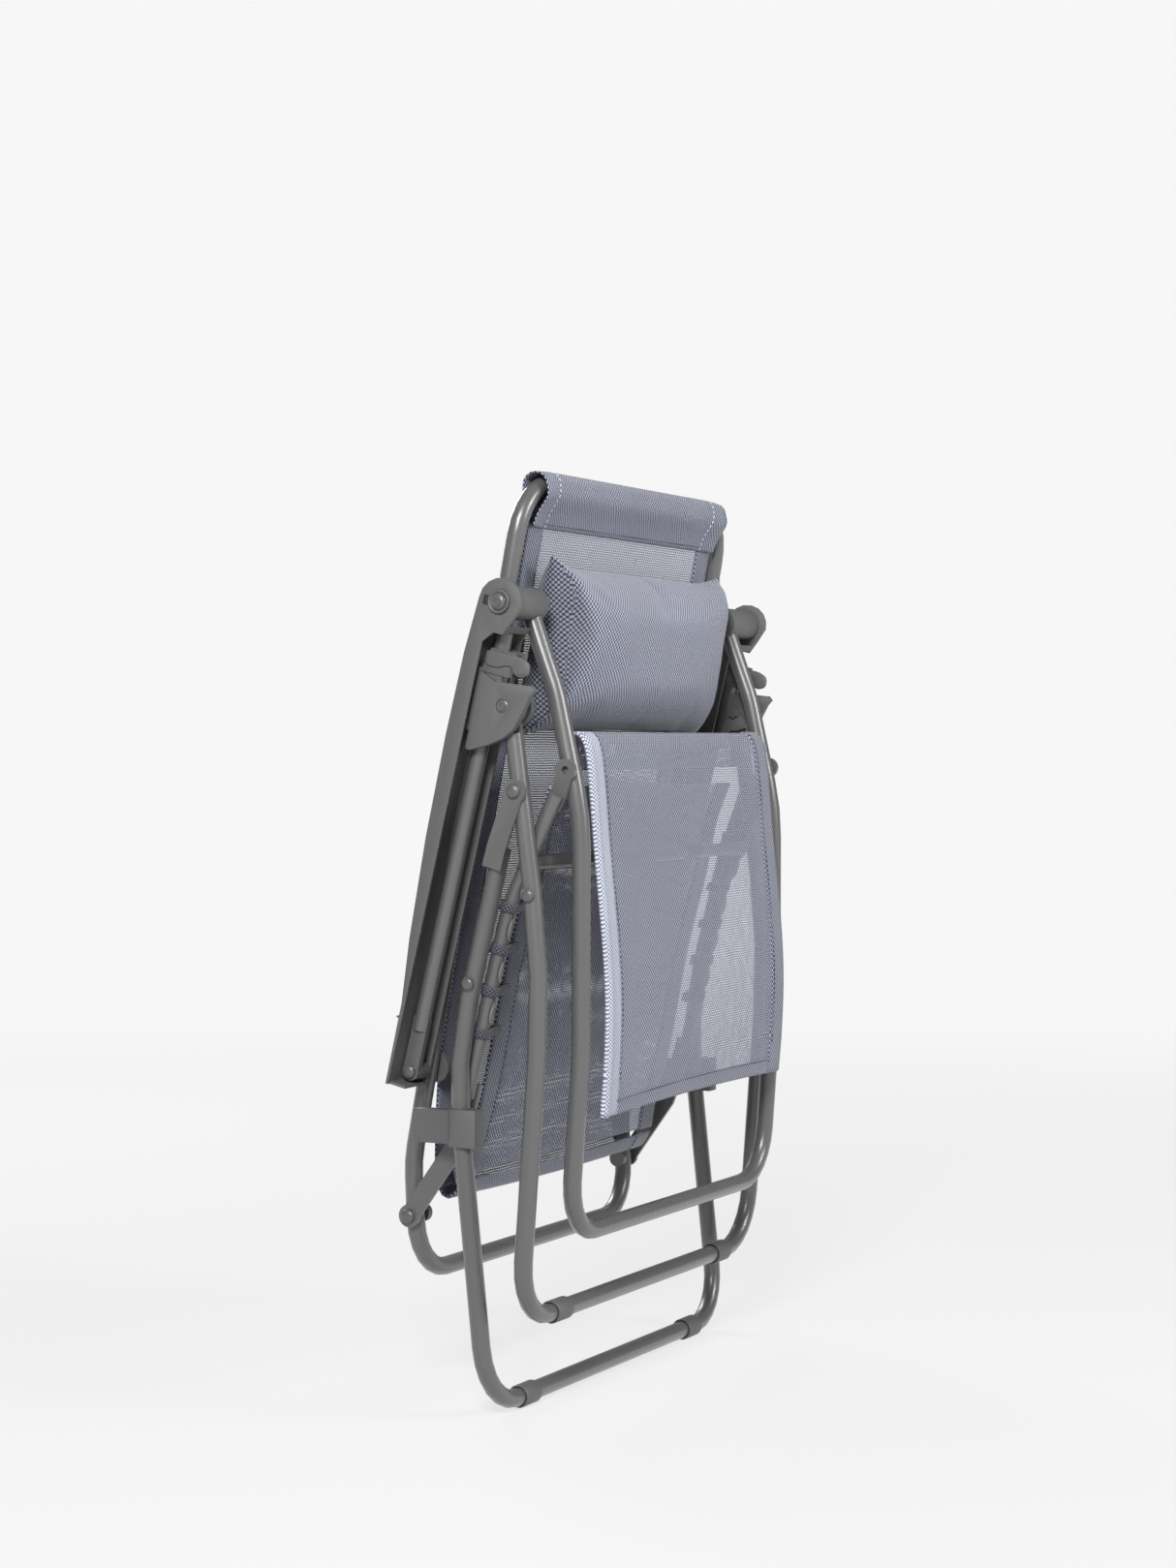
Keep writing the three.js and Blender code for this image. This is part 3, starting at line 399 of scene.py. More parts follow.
def light_hem_finish():
    f = settings().chair_fabric
    return woven("Rolled hem", share_of(f.pale_thread, 1.55), share_of(f.pale_thread, 0.42), f.thread_pitch * 0.8, 0.0)


# the cover's flanks get painted shade from woven without the weave attribute
def cover_finish():
    f = settings().chair_fabric
    return woven("Cushion cover", tuple(f.pale_thread), tuple(f.dark_thread), f.thread_pitch * 1.05, 0.0, attribute=False)


def strap_finish():
    f = settings().chair_fabric
    return woven("Lacing strap", share_of(f.pale_thread, 0.22), share_of(f.dark_thread, 0.4), 0.0022, 0.0)


def thread_finish(name, colour):
    return grained(name, colour, 0.7, 2500, 0.4)


def navy_thread():
    return thread_finish("Dark sewing thread", (0.03, 0.032, 0.075))


# ---------------------------------------------------------------- mesh helpers


def add_object(name, vertices, faces, material, smooth=True, weave=None):
    mesh = bpy.data.meshes.new(name)
    mesh.from_pydata([tuple(v) for v in vertices], [], faces)
    mesh.update()
    bm = bmesh.new()
    bm.from_mesh(mesh)
    bmesh.ops.recalc_face_normals(bm, faces=bm.faces)
    bm.to_mesh(mesh)
    bm.free()
    if weave:
        layer = mesh.attributes.new("weave", "FLOAT_VECTOR", "POINT")
        layer.data.foreach_set("vector", [c for w in weave for c in (w[0], w[1], 0.0)])
    for p in mesh.polygons:
        p.use_smooth = smooth
    mesh.materials.append(material)
    o = bpy.data.objects.new(name, mesh)
    bpy.context.scene.collection.objects.link(o)
    return o


def curve_points(points, count):
    """Catmull-Rom line through the points, as count evenly spaced ones."""
    p = [Vector(q) for q in points]
    p = [p[0] * 2 - p[1]] + p + [p[-1] * 2 - p[-2]]
    fine = []
    for i in range(1, len(p) - 2):
        a, b, c, d = p[i - 1], p[i], p[i + 1], p[i + 2]
        for k in range(24):
            t = k / 24
            fine.append(0.5 * (2 * b + (c - a) * t + (2 * a - 5 * b + 4 * c - d) * t * t + (3 * b - a - 3 * c + d) * t ** 3))
    fine.append(p[-2])
    run = [0.0]
    for a, b in zip(fine, fine[1:]):
        run.append(run[-1] + (b - a).length)
    out, j = [], 0
    for k in range(count):
        want = run[-1] * k / (count - 1)
        while j < len(run) - 2 and run[j + 1] < want:
            j += 1
        share = (want - run[j]) / max(run[j + 1] - run[j], 1e-9)
        out.append(fine[j].lerp(fine[j + 1], min(1, share)))
    return out


def on_run(run, z):
    """y of a side run at height z."""
    rows = sorted(run, key=lambda q: q[1])
    if z <= rows[0][1]:
        return rows[0][0]
    for a, b in zip(rows, rows[1:]):
        if z <= b[1]:
            return a[0] + (b[0] - a[0]) * (z - a[1]) / (b[1] - a[1])
    return rows[-1][0]


def back_y(z):
    (y0, z0), (y1, z1) = BACK_SLOPE
    return y0 + (y1 - y0) * (z0 - z) / (z0 - z1)


def cloth(name, profile, x_from, x_to, columns, rows, material, push=None, thick=None):
    """A sheet along a (y, z) profile and across x. push(s, t) gives its offset (dx, dy, dz) at share s across and t along."""
    line = curve_points([(0, y, z) for y, z in profile], rows)
    length = [0.0]
    for a, b in zip(line, line[1:]):
        length.append(length[-1] + (b - a).length)
    vertices, weave, faces = [], [], []
    for r, p in enumerate(line):
        for c in range(columns):
            s, t = c / (columns - 1), r / (rows - 1)
            x = x_from + (x_to - x_from) * s
            d = push(s, t) if push else (0, 0, 0)
            vertices.append((x + d[0], p.y + d[1], p.z + d[2]))
            weave.append((x, length[r]))
    for r in range(rows - 1):
        for c in range(columns - 1):
            a = r * columns + c
            faces.append((a, a + 1, a + columns + 1, a + columns))
    o = add_object(name, vertices, faces, material, weave=weave)
    thickness = settings().chair_fabric.thickness if thick is None else thick
    m = o.modifiers.new("Layer", "SOLIDIFY")
    m.thickness = thickness
    m.offset = 0
    o["cloth_length"] = length[-1]
    return o


def tube_along(name, points, radius, material, sides=12, closed_ends=True, flat=1.0):
    """A round or flattened tube along points."""
    pts = [Vector(p) for p in points]
    vertices, weave, faces, run = [], [], [], 0.0
    up = Vector((1, 0, 0))
    for i, p in enumerate(pts):
        d = (pts[min(i + 1, len(pts) - 1)] - pts[max(i - 1, 0)]).normalized()
        if abs(d.dot(up)) > 0.95:
            up = Vector((0, 0, 1))
        a = (up - d * up.dot(d)).normalized()
        b = d.cross(a)
        if i:
            run += (p - pts[i - 1]).length
        for k in range(sides):
            w = 2 * math.pi * k / sides
            vertices.append(p + a * math.cos(w) * radius + b * math.sin(w) * radius * flat)
            weave.append((w * radius, run))
    for i in range(len(pts) - 1):
        for k in range(sides):
            n = (k + 1) % sides
            faces.append((i * sides + k, i * sides + n, (i + 1) * sides + n, (i + 1) * sides + k))
    if closed_ends:
        faces.append(tuple(range(sides))[::-1])
        last = (len(pts) - 1) * sides
        faces.append(tuple(last + k for k in range(sides)))
    return add_object(name, vertices, faces, material, weave=weave)


def joined(name, pieces):
    """One object out of several new ones."""
    for o in bpy.context.scene.objects:
        o.select_set(False)
    for o in pieces:
        o.select_set(True)
    bpy.context.view_layer.objects.active = pieces[0]
    if len(pieces) > 1:
        bpy.ops.object.join()
    pieces[0].name = name
    pieces[0].data.name = name
    return pieces[0]


def lathe(name, x, y, z, side, profile, material, turns=24):
    """A turned head standing out along side * x: profile is (height, radius) from the outer middle to the base."""
    vertices, faces = [], []
    rings = []
    for h, r in profile:
        ring = []
        n = 1 if r < 1e-6 else turns
        for k in range(n):
            w = 2 * math.pi * k / turns
            ring.append(len(vertices))
            vertices.append((x + side * h, y + r * math.cos(w), z + r * math.sin(w)))
        rings.append(ring)
    for a, b in zip(rings, rings[1:]):
        for k in range(turns):
            n = (k + 1) % turns
            quad = [a[k % len(a)], a[n % len(a)], b[n % len(b)], b[k % len(b)]]
            face = tuple(dict.fromkeys(quad))
            if len(face) > 2:
                faces.append(face)
    if len(rings[-1]) > 1:
        faces.append(tuple(rings[-1]))
    if len(rings[0]) > 1:
        faces.append(tuple(rings[0])[::-1])
    return add_object(name, vertices, faces, material)


def dome(name, x, y, z, side, radius, material):
    steps = 6
    turns = [math.pi / 2 * k / steps for k in range(steps + 1)]
    profile = [(radius * 0.42 * math.cos(w), radius * math.sin(w)) for w in turns]
    return lathe(name, x, y, z, side, profile + [(-0.0004, radius)], material)


def socket_screw(name, x, y, z, side, radius, material):
    """A button head with a six-sided socket."""
    head = dome(name + "_h", x, y, z, side, radius, material)
    ring, hexagon = [], []
    for k in range(24):
        w = 2 * math.pi * k / 24
        six = 0.40 * radius / max(math.cos((w % (math.pi / 3)) - math.pi / 6), 0.5)
        ring.append((w, 0.62 * radius))
        hexagon.append((w, six))
    vertices, faces = [], []
    for depth, pairs in ((0.50, ring), (0.46, hexagon), (0.12, hexagon)):
        for w, r in pairs:
            vertices.append((x + side * radius * depth, y + r * math.cos(w), z + r * math.sin(w)))
    for a in (0, 24):
        for k in range(24):
            n = (k + 1) % 24
            faces.append((a + k, a + n, a + 24 + n, a + 24 + k))
    faces.append(tuple(range(48, 72)))
    for k in range(24):
        w = ring[k][0]
        vertices.append((x, y + 0.62 * radius * math.cos(w), z + 0.62 * radius * math.sin(w)))
    for k in range(24):
        n = (k + 1) % 24
        faces.append((k, n, 72 + n, 72 + k))
    faces.append(tuple(range(72, 96)))
    cup = add_object(name + "_c", vertices, faces, material, smooth=False)
    return joined(name, [head, cup])


def stitches(name, points, material, length=0.0036, radius=0.00055, pitch=0.0056, lift=(0, -0.0009, 0)):
    """A row of stitches along a line, as one piece."""
    p = [Vector(q) + Vector(lift) for q in points]
    total = sum((b - a).length for a, b in zip(p, p[1:]))
    line = curve_points(p, max(4, int(total / pitch)) * 3)
    vertices, faces = [], []
    for i in range(0, len(line) - 2, 3):
        a = line[i]
        d = (line[i + 2] - a).normalized()
        u = d.cross(Vector((0, 1, 0)))
        u = u.normalized() if u.length > 1e-4 else Vector((1, 0, 0))
        w = d.cross(u)
        base = len(vertices)
        for f, k in ((0, 0.35), (0.25, 1), (0.75, 1), (1, 0.35)):
            for q in range(6):
                g = math.pi / 3 * q
                vertices.append(a + d * length * f + (u * math.cos(g) + w * math.sin(g)) * radius * k)
        for r in range(3):
            for q in range(6):
                n = (q + 1) % 6
                faces.append((base + r * 6 + q, base + r * 6 + n, base + r * 6 + 6 + n, base + r * 6 + 6 + q))
        faces.append(tuple(base + q for q in range(6))[::-1])
        faces.append(tuple(base + 18 + q for q in range(6)))
    return add_object(name, vertices, faces, material)


def place(o, body, slot):
    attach(o, body)
    return o


# ---------------------------------------------------------------- frame finishes


class CHAIR_OT_frame_finishes(bpy.types.Operator):
    """Give the tubes, mouldings and fixings their finishes and soft edges"""

    bl_idname = "chair.frame_finishes"
    bl_label = "Frame finishes"

    def execute(self, context):
        by_slot = {r["node"]: r["material_slot"] for r in frame["record"]["subparts"]}
        for name, o in NODES.items():
            kind = by_slot[name]
            finish = {"coated_steel": paint_finish, "moulded_plastic": plastic_finish, "fixings": fixing_finish}.get(kind)
            material = finish() if finish else mesh_finish()
            o.data.materials.clear()
            o.data.materials.append(material)
            for p in o.data.polygons:
                p.use_smooth = True
                p.material_index = 0
            if o.data.has_custom_normals:
                context.view_layer.objects.active = o
                with context.temp_override(object=o, active_object=o, selected_objects=[o]):
                    bpy.ops.mesh.customdata_custom_splitnormals_clear()
            weld = o.modifiers.new("Seams closed", "WELD")
            weld.merge_threshold = 0.00002
            if kind == "moulded_plastic":
                bevel = o.modifiers.new("Soft edges", "BEVEL")
                bevel.width = context.scene.chair_frame.edge_round
                bevel.segments = 2
                bevel.limit_method = "ANGLE"
                bevel.angle_limit = math.radians(38)
            split = o.modifiers.new("Crisp corners", "EDGE_SPLIT")
            split.split_angle = math.radians(33)
        return {"FINISHED"}


# ---------------------------------------------------------------- sling


def side_hems(prefix, profile, half, body, band, inner_offset, stitch_material, push=None, rows=60, light=()):
    """Doubled hems down both sides of a sheet, with a row of stitches on each inner edge."""
    for name, side in SIDES:
        finish = light_hem_finish() if name in light else hem_finish()
        x0, x1 = side * (half - band), side * (half + 0.001)
        shift = (lambda s, t, k=side: push(0.5 + k * (0.5 - band / (4 * half) * (1 - s)), t)) if push else None
        hem = cloth(prefix + "_hem_" + name, profile, x0, x1, 7, rows, finish, push=shift, thick=0.0034)
        place(hem, body, "mesh_fabric")
        line = []
        for i, p in enumerate(curve_points([(0, y, z) for y, z in profile], rows)):
            d = shift(0.08, i / (rows - 1)) if shift else (0, 0, 0)
            line.append((x0 + side * 0.0025 + d[0], p.y + d[1] + inner_offset, p.z + d[2]))
        trim = rows // 12
        place(stitches(prefix + "_stitch_" + name, line[trim:-trim], stitch_material), body, "mesh_fabric")


class CHAIR_OT_back_sling(bpy.types.Operator):
    """Back of the sling: top sleeve, single layer, side hems and the fold at the hip"""

    bl_idname = "chair.back_sling"
    bl_label = "Back sling"

    def execute(self, context):
        f = context.scene.chair_fabric
        half = SLING_HALF
        navy = navy_thread()
        pale = thread_finish("Pale sewing thread", (0.52, 0.56, 0.68))
        top_y, top_z = BACK_SLOPE[0]
        r = 0.0122
        arc = []
        for k in range(9):
            w = math.pi * k / 8
            arc.append((top_y - r * math.cos(w), top_z + r * math.sin(w) * 0.98))
        hem_z = 0.951
        sleeve_line = [(back_y(hem_z) - 0.0022, hem_z), (back_y(0.968) - 0.0062, 0.968), (top_y - r * 0.98, 0.985)] + arc + [
            (top_y + r * 0.98, 0.985), (back_y(0.968) + 0.0062, 0.968), (back_y(hem_z) + 0.0022, hem_z)]

        def drape(s, t):
            out = abs(2 * s - 1)
            droop = -0.0015 * max(0, (out - 0.82) / 0.18) ** 2 * math.sin(math.pi * t)
            ripple = 0.0013 * math.sin(s * 31 + 1.3) * math.sin(math.pi * min(1, t * 2)) ** 2 * (1 if t < 0.5 else 0.6)
            return (0, -ripple - 0.004 * max(0, (out - 0.86) / 0.14) * math.cos(math.pi * t), droop)

        sleeve = cloth("top_sleeve_cloth", sleeve_line, -half, half, 61, 48, hem_finish(), push=drape)
        place(sleeve, "backrest", "mesh_fabric")
        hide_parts("top_sleeve")
        for y_off, tag in ((-0.0040, "front"), (0.0040, "rear")):
            line = [(-half + 0.004 + (2 * half - 0.008) * k / 30, back_y(hem_z + 0.004) + y_off, hem_z + 0.004)
                    for k in range(31)]
            place(stitches("sleeve_seam_" + tag, line, navy, lift=(0, 0, 0)), "backrest", "mesh_fabric")
        for name, side in SIDES:
            x = side * (half - f.hem_width)
            line = [(x, y, z) for y, z in sleeve_line[:9]]
            place(stitches("sleeve_end_seam_" + name, line, pale, lift=(0, -0.0012, 0.0004)), "backrest", "mesh_fabric")

        low = [(back_y(0.955), 0.955), (back_y(0.80), 0.80), (back_y(0.62), 0.62), (back_y(0.47), 0.47), (0.0872, 0.366),
               (0.0918, 0.285), (0.0905, 0.243), (0.0820, 0.2255), (0.0700, 0.2275), (0.0590, 0.2445)]

        def belly(s, t):
            across = 1 - (2 * s - 1) ** 2
            return (0, 0.006 * across * math.sin(math.pi * min(1, t * 1.05)), -0.004 * across * max(0, (t - 0.8) / 0.2))

        sheet = cloth("back_sheet", low, -half, half, 41, 120, mesh_finish(), push=belly)
        place(sheet, "backrest", "mesh_fabric")
        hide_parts("back_panel")
        side_hems("back", low, half, "backrest", f.hem_width, STITCH_FRONT, navy, push=belly, rows=110)
        return {"FINISHED"}


class CHAIR_OT_seat_sling(bpy.types.Operator):
    """Seat of the sling, between the two seat rails"""

    bl_idname = "chair.seat_sling"
    bl_label = "Seat sling"

    def execute(self, context):
        f = context.scene.chair_fabric
        half = SLING_HALF
        line = [(-0.0480, 0.672), (-0.0300, 0.625), (-0.0158, 0.560), (0.0082, 0.470), (0.0322, 0.352),
                (0.0512, 0.284), (0.0575, 0.250)]

        def belly(s, t):
            across = 1 - (2 * s - 1) ** 2
            return (0, 0.005 * across * math.sin(math.pi * t), 0)

        sheet = cloth("seat_sheet", line, -half, half, 37, 80, mesh_finish(), push=belly)
        place(sheet, "seat", "mesh_fabric")
        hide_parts("seat_panel")
        side_hems("seat", line, half, "seat", f.hem_width, STITCH_FRONT, navy_thread(), push=belly, rows=70)
        return {"FINISHED"}


class CHAIR_OT_legrest_sling(bpy.types.Operator):
    """Legrest of the sling: the roll at the knee, the front panel and its hems"""

    bl_idname = "chair.legrest_sling"
    bl_label = "Legrest sling"

    def execute(self, context):
        f = context.scene.chair_fabric
        half = LEGREST_HALF
        navy = navy_thread()
        line = [(-0.0640, 0.690), (-0.0640, 0.712), (-0.0700, 0.7265), (-0.0815, 0.7300), (-0.0905, 0.7180),
                (-0.0955, 0.690), (-0.1025, 0.610), (-0.1120, 0.515), (-0.1160, 0.450), (-0.1150, 0.390), (-0.1100, 0.328)]

        def bow(s, t):
            across = 1 - (2 * s - 1) ** 2
            lean = 0.010 * (s - 0.5)
            tilt = lean * (1 if t > 0.3 else 0.4) * 0.6
            return (0, -0.004 * across * math.sin(math.pi * t), tilt - 0.004 * (1 - across) * (1 if t > 0.9 else 0))

        sheet = cloth("legrest_sheet", line, -half, half, 45, 100, mesh_finish(), push=bow)
        place(sheet, "legrest", "mesh_fabric")
        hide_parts("legrest_panel")
        side_hems("legrest", line, half, "legrest", f.hem_width, -0.0022, navy, push=bow, rows=90, light=("left",))
        # the left hem is rolled: a soft round edge stands in front of it
        roll = []
        for i, p in enumerate(curve_points([(0, y, z) for y, z in line], 70)):
            d = bow(0.0, i / 69)
            roll.append((-half + 0.0045 + d[0], p.y + d[1] - 0.0008, p.z + d[2]))
        rolled = tube_along("legrest_rolled_edge", roll[8:], 0.0052, light_hem_finish(), sides=12, flat=0.9)
        place(rolled, "legrest", "mesh_fabric")
        ends = [(-0.1105, 0.342), (-0.1100, 0.331), (-0.1092, 0.327)]
        hem = cloth("legrest_end_hem", ends, -half, half, 45, 8, hem_finish(), push=lambda s, t: bow(s, 1), thick=0.0036)
        place(hem, "legrest", "mesh_fabric")
        seam = [(-half + 0.03 + (2 * half - 0.06) * k / 20, -0.1125 + bow(k / 20, 1)[1], 0.3425 + bow(k / 20, 1)[2])
                for k in range(21)]
        place(stitches("legrest_end_stitch", seam, navy, lift=(0, -0.0012, 0)), "legrest", "mesh_fabric")
        return {"FINISHED"}


def strap(name, centre, radius, direction, side, reach, width, material):
    """A webbing loop round a tube, with its two ends brought together towards the cloth."""
    c = Vector(centre)
    d = Vector(direction).normalized()
    inward = Vector((-side, 0, 0))
    front = d.cross(inward).normalized()
    line = []
    open_angle = math.radians(35)
    for k in range(19):
        w = open_angle + (2 * math.pi - 2 * open_angle) * k / 18
        line.append(c + inward * math.cos(w) * radius + front * math.sin(w) * radius)
    line = [c + inward * (radius + reach) + front * 0.0012] + line + [c + inward * (radius + reach) - front * 0.0012]
    vertices, weave, faces, run = [], [], [], 0.0
    for i, p in enumerate(line):
        if i:
            run += (p - line[i - 1]).length
        for k in range(4):
            s = (k / 3 - 0.5) * width
            vertices.append(p + d * s)
            weave.append((s, run))
    for i in range(len(line) - 1):
        for k in range(3):
            a = i * 4 + k
            faces.append((a, a + 1, a + 5, a + 4))
    o = add_object(name, vertices, faces, material, weave=weave)
    m = o.modifiers.new("Layer", "SOLIDIFY")
    m.thickness = 0.0012
    m.offset = 1
    return o


def lens_clip(name, centre, direction, side, material):
    """A lens-shaped shell on the front of a tube, pointed at both ends."""
    outline = ((-1, 0.02), (-0.75, 0.6), (-0.35, 0.95), (0, 1.05), (0.35, 0.95), (0.75, 0.6), (1, 0.02))
    across = 7
    n = Vector((0, direction.z, -direction.y)).normalized()
    vertices, faces = [], []
    for along, wide in outline:
        for q in range(across):
            w = math.pi * q / (across - 1)
            out = RAIL_RADIUS * 0.96 + CLIP_RISE * math.sin(w) * min(1, wide)
            sideways = Vector((-side, 0, 0)) * (math.cos(w) * CLIP_HALF_WIDTH * wide - 0.001)
            vertices.append(centre + direction.normalized() * along * CLIP_HALF_LENGTH + sideways - n * out)
    for a in range(len(outline) - 1):
        for q in range(across - 1):
            faces.append((a * across + q, a * across + q + 1, (a + 1) * across + q + 1, (a + 1) * across + q))
    return add_object(name, vertices, faces, material)


class CHAIR_OT_lacing(bpy.types.Operator):
    """Webbing straps that lace the sling to the tubes, with a lens-shaped clip between straps"""

    bl_idname = "chair.lacing"
    bl_label = "Lacing"

    def execute(self, context):
        f = context.scene.chair_fabric
        webbing = strap_finish()
        # the clips' light grey is partly their own colour and partly a painted highlight, lighter than the other
        # mouldings
        clip = grained("Lacing clip", (0.15, 0.15, 0.15), 0.42, 900, 0.2)
        low, high = LACING_Z
        count = int((high - low) / f.strap_pitch)
        for name, side in SIDES:
            straps, clips = [], []
            for k in range(count + 1):
                z = low + f.strap_pitch * k
                y = on_run(RAIL_RUN, z)
                d = Vector((0, on_run(RAIL_RUN, z + 0.02) - on_run(RAIL_RUN, z - 0.02), 0.04))
                straps.append(strap(f"seat_s{k}", (side * RAIL_X, y, z), RAIL_RADIUS + 0.0001, d, side,
                                    STRAP_REACH, STRAP_WIDTH, webbing))
                if k < count:
                    m = z + f.strap_pitch / 2
                    centre = Vector((side * RAIL_X, on_run(RAIL_RUN, m), m))
                    clips.append(lens_clip(f"seat_c{k}", centre, d, side, clip))
            place(joined(f"seat_lacing_{name}", straps), "seat", "mesh_fabric")
            place(joined(f"seat_clips_{name}", clips), "seat", "moulded_plastic")
        return {"FINISHED"}


# ---------------------------------------------------------------- headrest


class CHAIR_OT_headrest(bpy.types.Operator):
    """Headrest pillow, filled by a cloth simulation, with pointed corners"""

    bl_idname = "chair.headrest"
    bl_label = "Headrest"

    def execute(self, context):
        p = context.scene.chair_padding
        low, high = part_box("headrest_cushion")
        half, z0, z1 = high.x, low.z, high.z
        columns, rows = 33, 17
        vertices, faces = [], []
        for layer in (0, 1):
            for r in range(rows):
                t = r / (rows - 1)
                for c in range(columns):
                    s = c / (columns - 1)
                    edge = min(1, 19 * min(s, 1 - s)) ** 0.5 * min(1, 5.0 * min(t, 1 - t)) ** 0.5
                    pull = 0.006 * (1 - abs(2 * t - 1)) * (abs(2 * s - 1) ** 8)
                    x = (-half + 2 * half * s) * 1.045
                    x += -pull if x > 0 else pull
                    z = z1 - (z1 - z0) * t + (0.010 if t < 0.5 else -0.006) * abs(2 * s - 1) ** 9 * abs(2 * t - 1) ** 5
                    mid = back_y(z) - 0.0265
                    y = mid + (-1 if layer else 1) * (0.0035 + edge * p.crown * (0.32 if layer == 0 else 0.5))
                    vertices.append((x, y, z))
        for layer in (0, 1):
            for r in range(rows - 1):
                for c in range(columns - 1):
                    a = layer * rows * columns + r * columns + c
                    q = (a, a + 1, a + columns + 1, a + columns)
                    faces.append(q if layer else q[::-1])
        ring = [c for c in range(columns)] + [r * columns + columns - 1 for r in range(1, rows)]
        ring += [(rows - 1) * columns + c for c in range(columns - 2, -1, -1)] + [r * columns for r in range(rows - 2, 0, -1)]
        n = rows * columns
        for a, b in zip(ring, ring[1:] + ring[:1]):
            faces.append((a, b, b + n, a + n))
        o = add_object("headrest_pillow", vertices, faces, cover_finish())
        context.view_layer.objects.active = o
        for s in context.scene.objects:
            s.select_set(s is o)
        o.data.remesh_voxel_size = 0.005
        bpy.ops.object.voxel_remesh()
        start = [v.co.copy() for v in o.data.vertices]
        m = o.modifiers.new("Filling", "CLOTH")
        m.settings.use_pressure = True
        m.settings.uniform_pressure_force = p.pressure
        m.settings.effector_weights.gravity = 0
        m.settings.quality = 5
        m.settings.tension_stiffness = m.settings.compression_stiffness = 22
        m.settings.bending_stiffness = 0.6
        m.point_cache.frame_start, m.point_cache.frame_end = 1, 20
        for frame_number in range(1, 21):
            context.scene.frame_set(frame_number)
        graph = context.evaluated_depsgraph_get()
        moved = [v.co.copy() for v in o.evaluated_get(graph).data.vertices]
        o.modifiers.remove(m)
        context.scene.frame_set(1)
        for v, a, b in zip(o.data.vertices, start, moved):
            d = b - a
            d.x, d.z = d.x * 0.12, d.z * 0.12
            v.co = a + (d if d.length <= p.swell else d * (p.swell / d.length))
            limit = back_y(v.co.z) - 0.0035
            v.co.y = min(v.co.y, limit)
        for q in o.data.polygons:
            q.use_smooth = True
        smooth = o.modifiers.new("Soft cover", "SMOOTH")
        smooth.factor, smooth.iterations = 0.5, 8
        sub = o.modifiers.new("Fine cover", "SUBSURF")
        sub.levels = sub.render_levels = 1
        place(o, "backrest", "padded_fabric")
        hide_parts("headrest_cushion")
        return {"FINISHED"}


# ---------------------------------------------------------------- hardware details


class CHAIR_OT_hardware(bpy.types.Operator):
    """Domed rivet heads, and socket screws with their washers"""

    bl_idname = "chair.hardware"
    bl_label = "Hardware"

    def execute(self, context):
        h = context.scene.chair_hardware
        steel, plastic = fixing_finish(), plastic_finish()
        heads = {
            "leg_rivet": (h.rivet_head, False), "seat_bolt": (h.rivet_head * 0.92, False),
            "rear_leg_rivet": (h.rivet_head * 0.92, False), "hip_rivet": (h.rivet_head * 1.05, False),
            "arm_rivet": (h.rivet_head, False), "head_bolt": (h.screw_head, True), "block_bolt": (h.screw_head * 0.9, True),
        }
        body_of = {n: b for b, members in frame["record"]["behaviour"]["bodies"].items() for n in members}
        for kind, (radius, socket) in heads.items():
            for name, side in SIDES:
                node = kind + "_" + name
                if node not in NODES:
                    continue
                low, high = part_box(node)
                x = high.x if side > 0 else low.x
                y, z = (low.y + high.y) / 2, (low.z + high.z) / 2
                make = socket_screw if socket else dome
                place(make(kind + "_dome_" + name, x, y, z, side, radius, steel), body_of[node], "fixings")
                if socket:
                    ring = [(0.0002, radius * 1.16), (0.0009, radius * 1.24), (0.0009, radius * 1.38), (0.0, radius * 1.44)]
                    washer = lathe(kind + "_ring_" + name, x - side * 0.0012, y, z, side, ring, plastic)
                    place(washer, body_of[node], "moulded_plastic")
        return {"FINISHED"}


def arm_point(along, behind):
    """(y, z) of a place given along the armrest from its head pivot and behind its axis."""
    a = Vector((ARM_REAR[0] - ARM_FRONT[0], ARM_REAR[1] - ARM_FRONT[1])).normalized()
    return ARM_FRONT[0] + a.x * along - a.y * behind, ARM_FRONT[1] + a.y * along + a.x * behind


def moulded_plate(name, outline, x0, x1, material, bevel=0.0016):
    """A plate with soft edges: an outline of (along, behind) points between two x planes."""
    pts = [arm_point(*q) for q in outline]
    n = len(pts)
    vertices = [(x0, y, z) for y, z in pts] + [(x1, y, z) for y, z in pts]
    faces = [tuple(range(n)), tuple(range(n, 2 * n))[::-1]] + [(k, (k + 1) % n, n + (k + 1) % n, n + k) for k in range(n)]
    o = add_object(name, vertices, faces, material)
    m = o.modifiers.new("Soft edges", "BEVEL")
    m.width, m.segments, m.limit_method, m.angle_limit = bevel, 3, "ANGLE", math.radians(50)
    m = o.modifiers.new("Crisp corners", "EDGE_SPLIT")
    m.split_angle = math.radians(40)
    return o


def rounded(points, radius=0.004, steps=4):
    """The outline with its corners rounded."""
    out, n = [], len(points)
    for i, q in enumerate(points):
        b, a, c = Vector(q), Vector(points[i - 1]), Vector(points[(i + 1) % n])
        r = min(radius, (a - b).length * 0.45, (c - b).length * 0.45)
        p0, p1 = b + (a - b).normalized() * r, b + (c - b).normalized() * r
        for k in range(steps + 1):
            t = k / steps
            w = p0 * (1 - t) ** 2 + b * 2 * t * (1 - t) + p1 * t * t
            out.append((w.x, w.y))
    return out


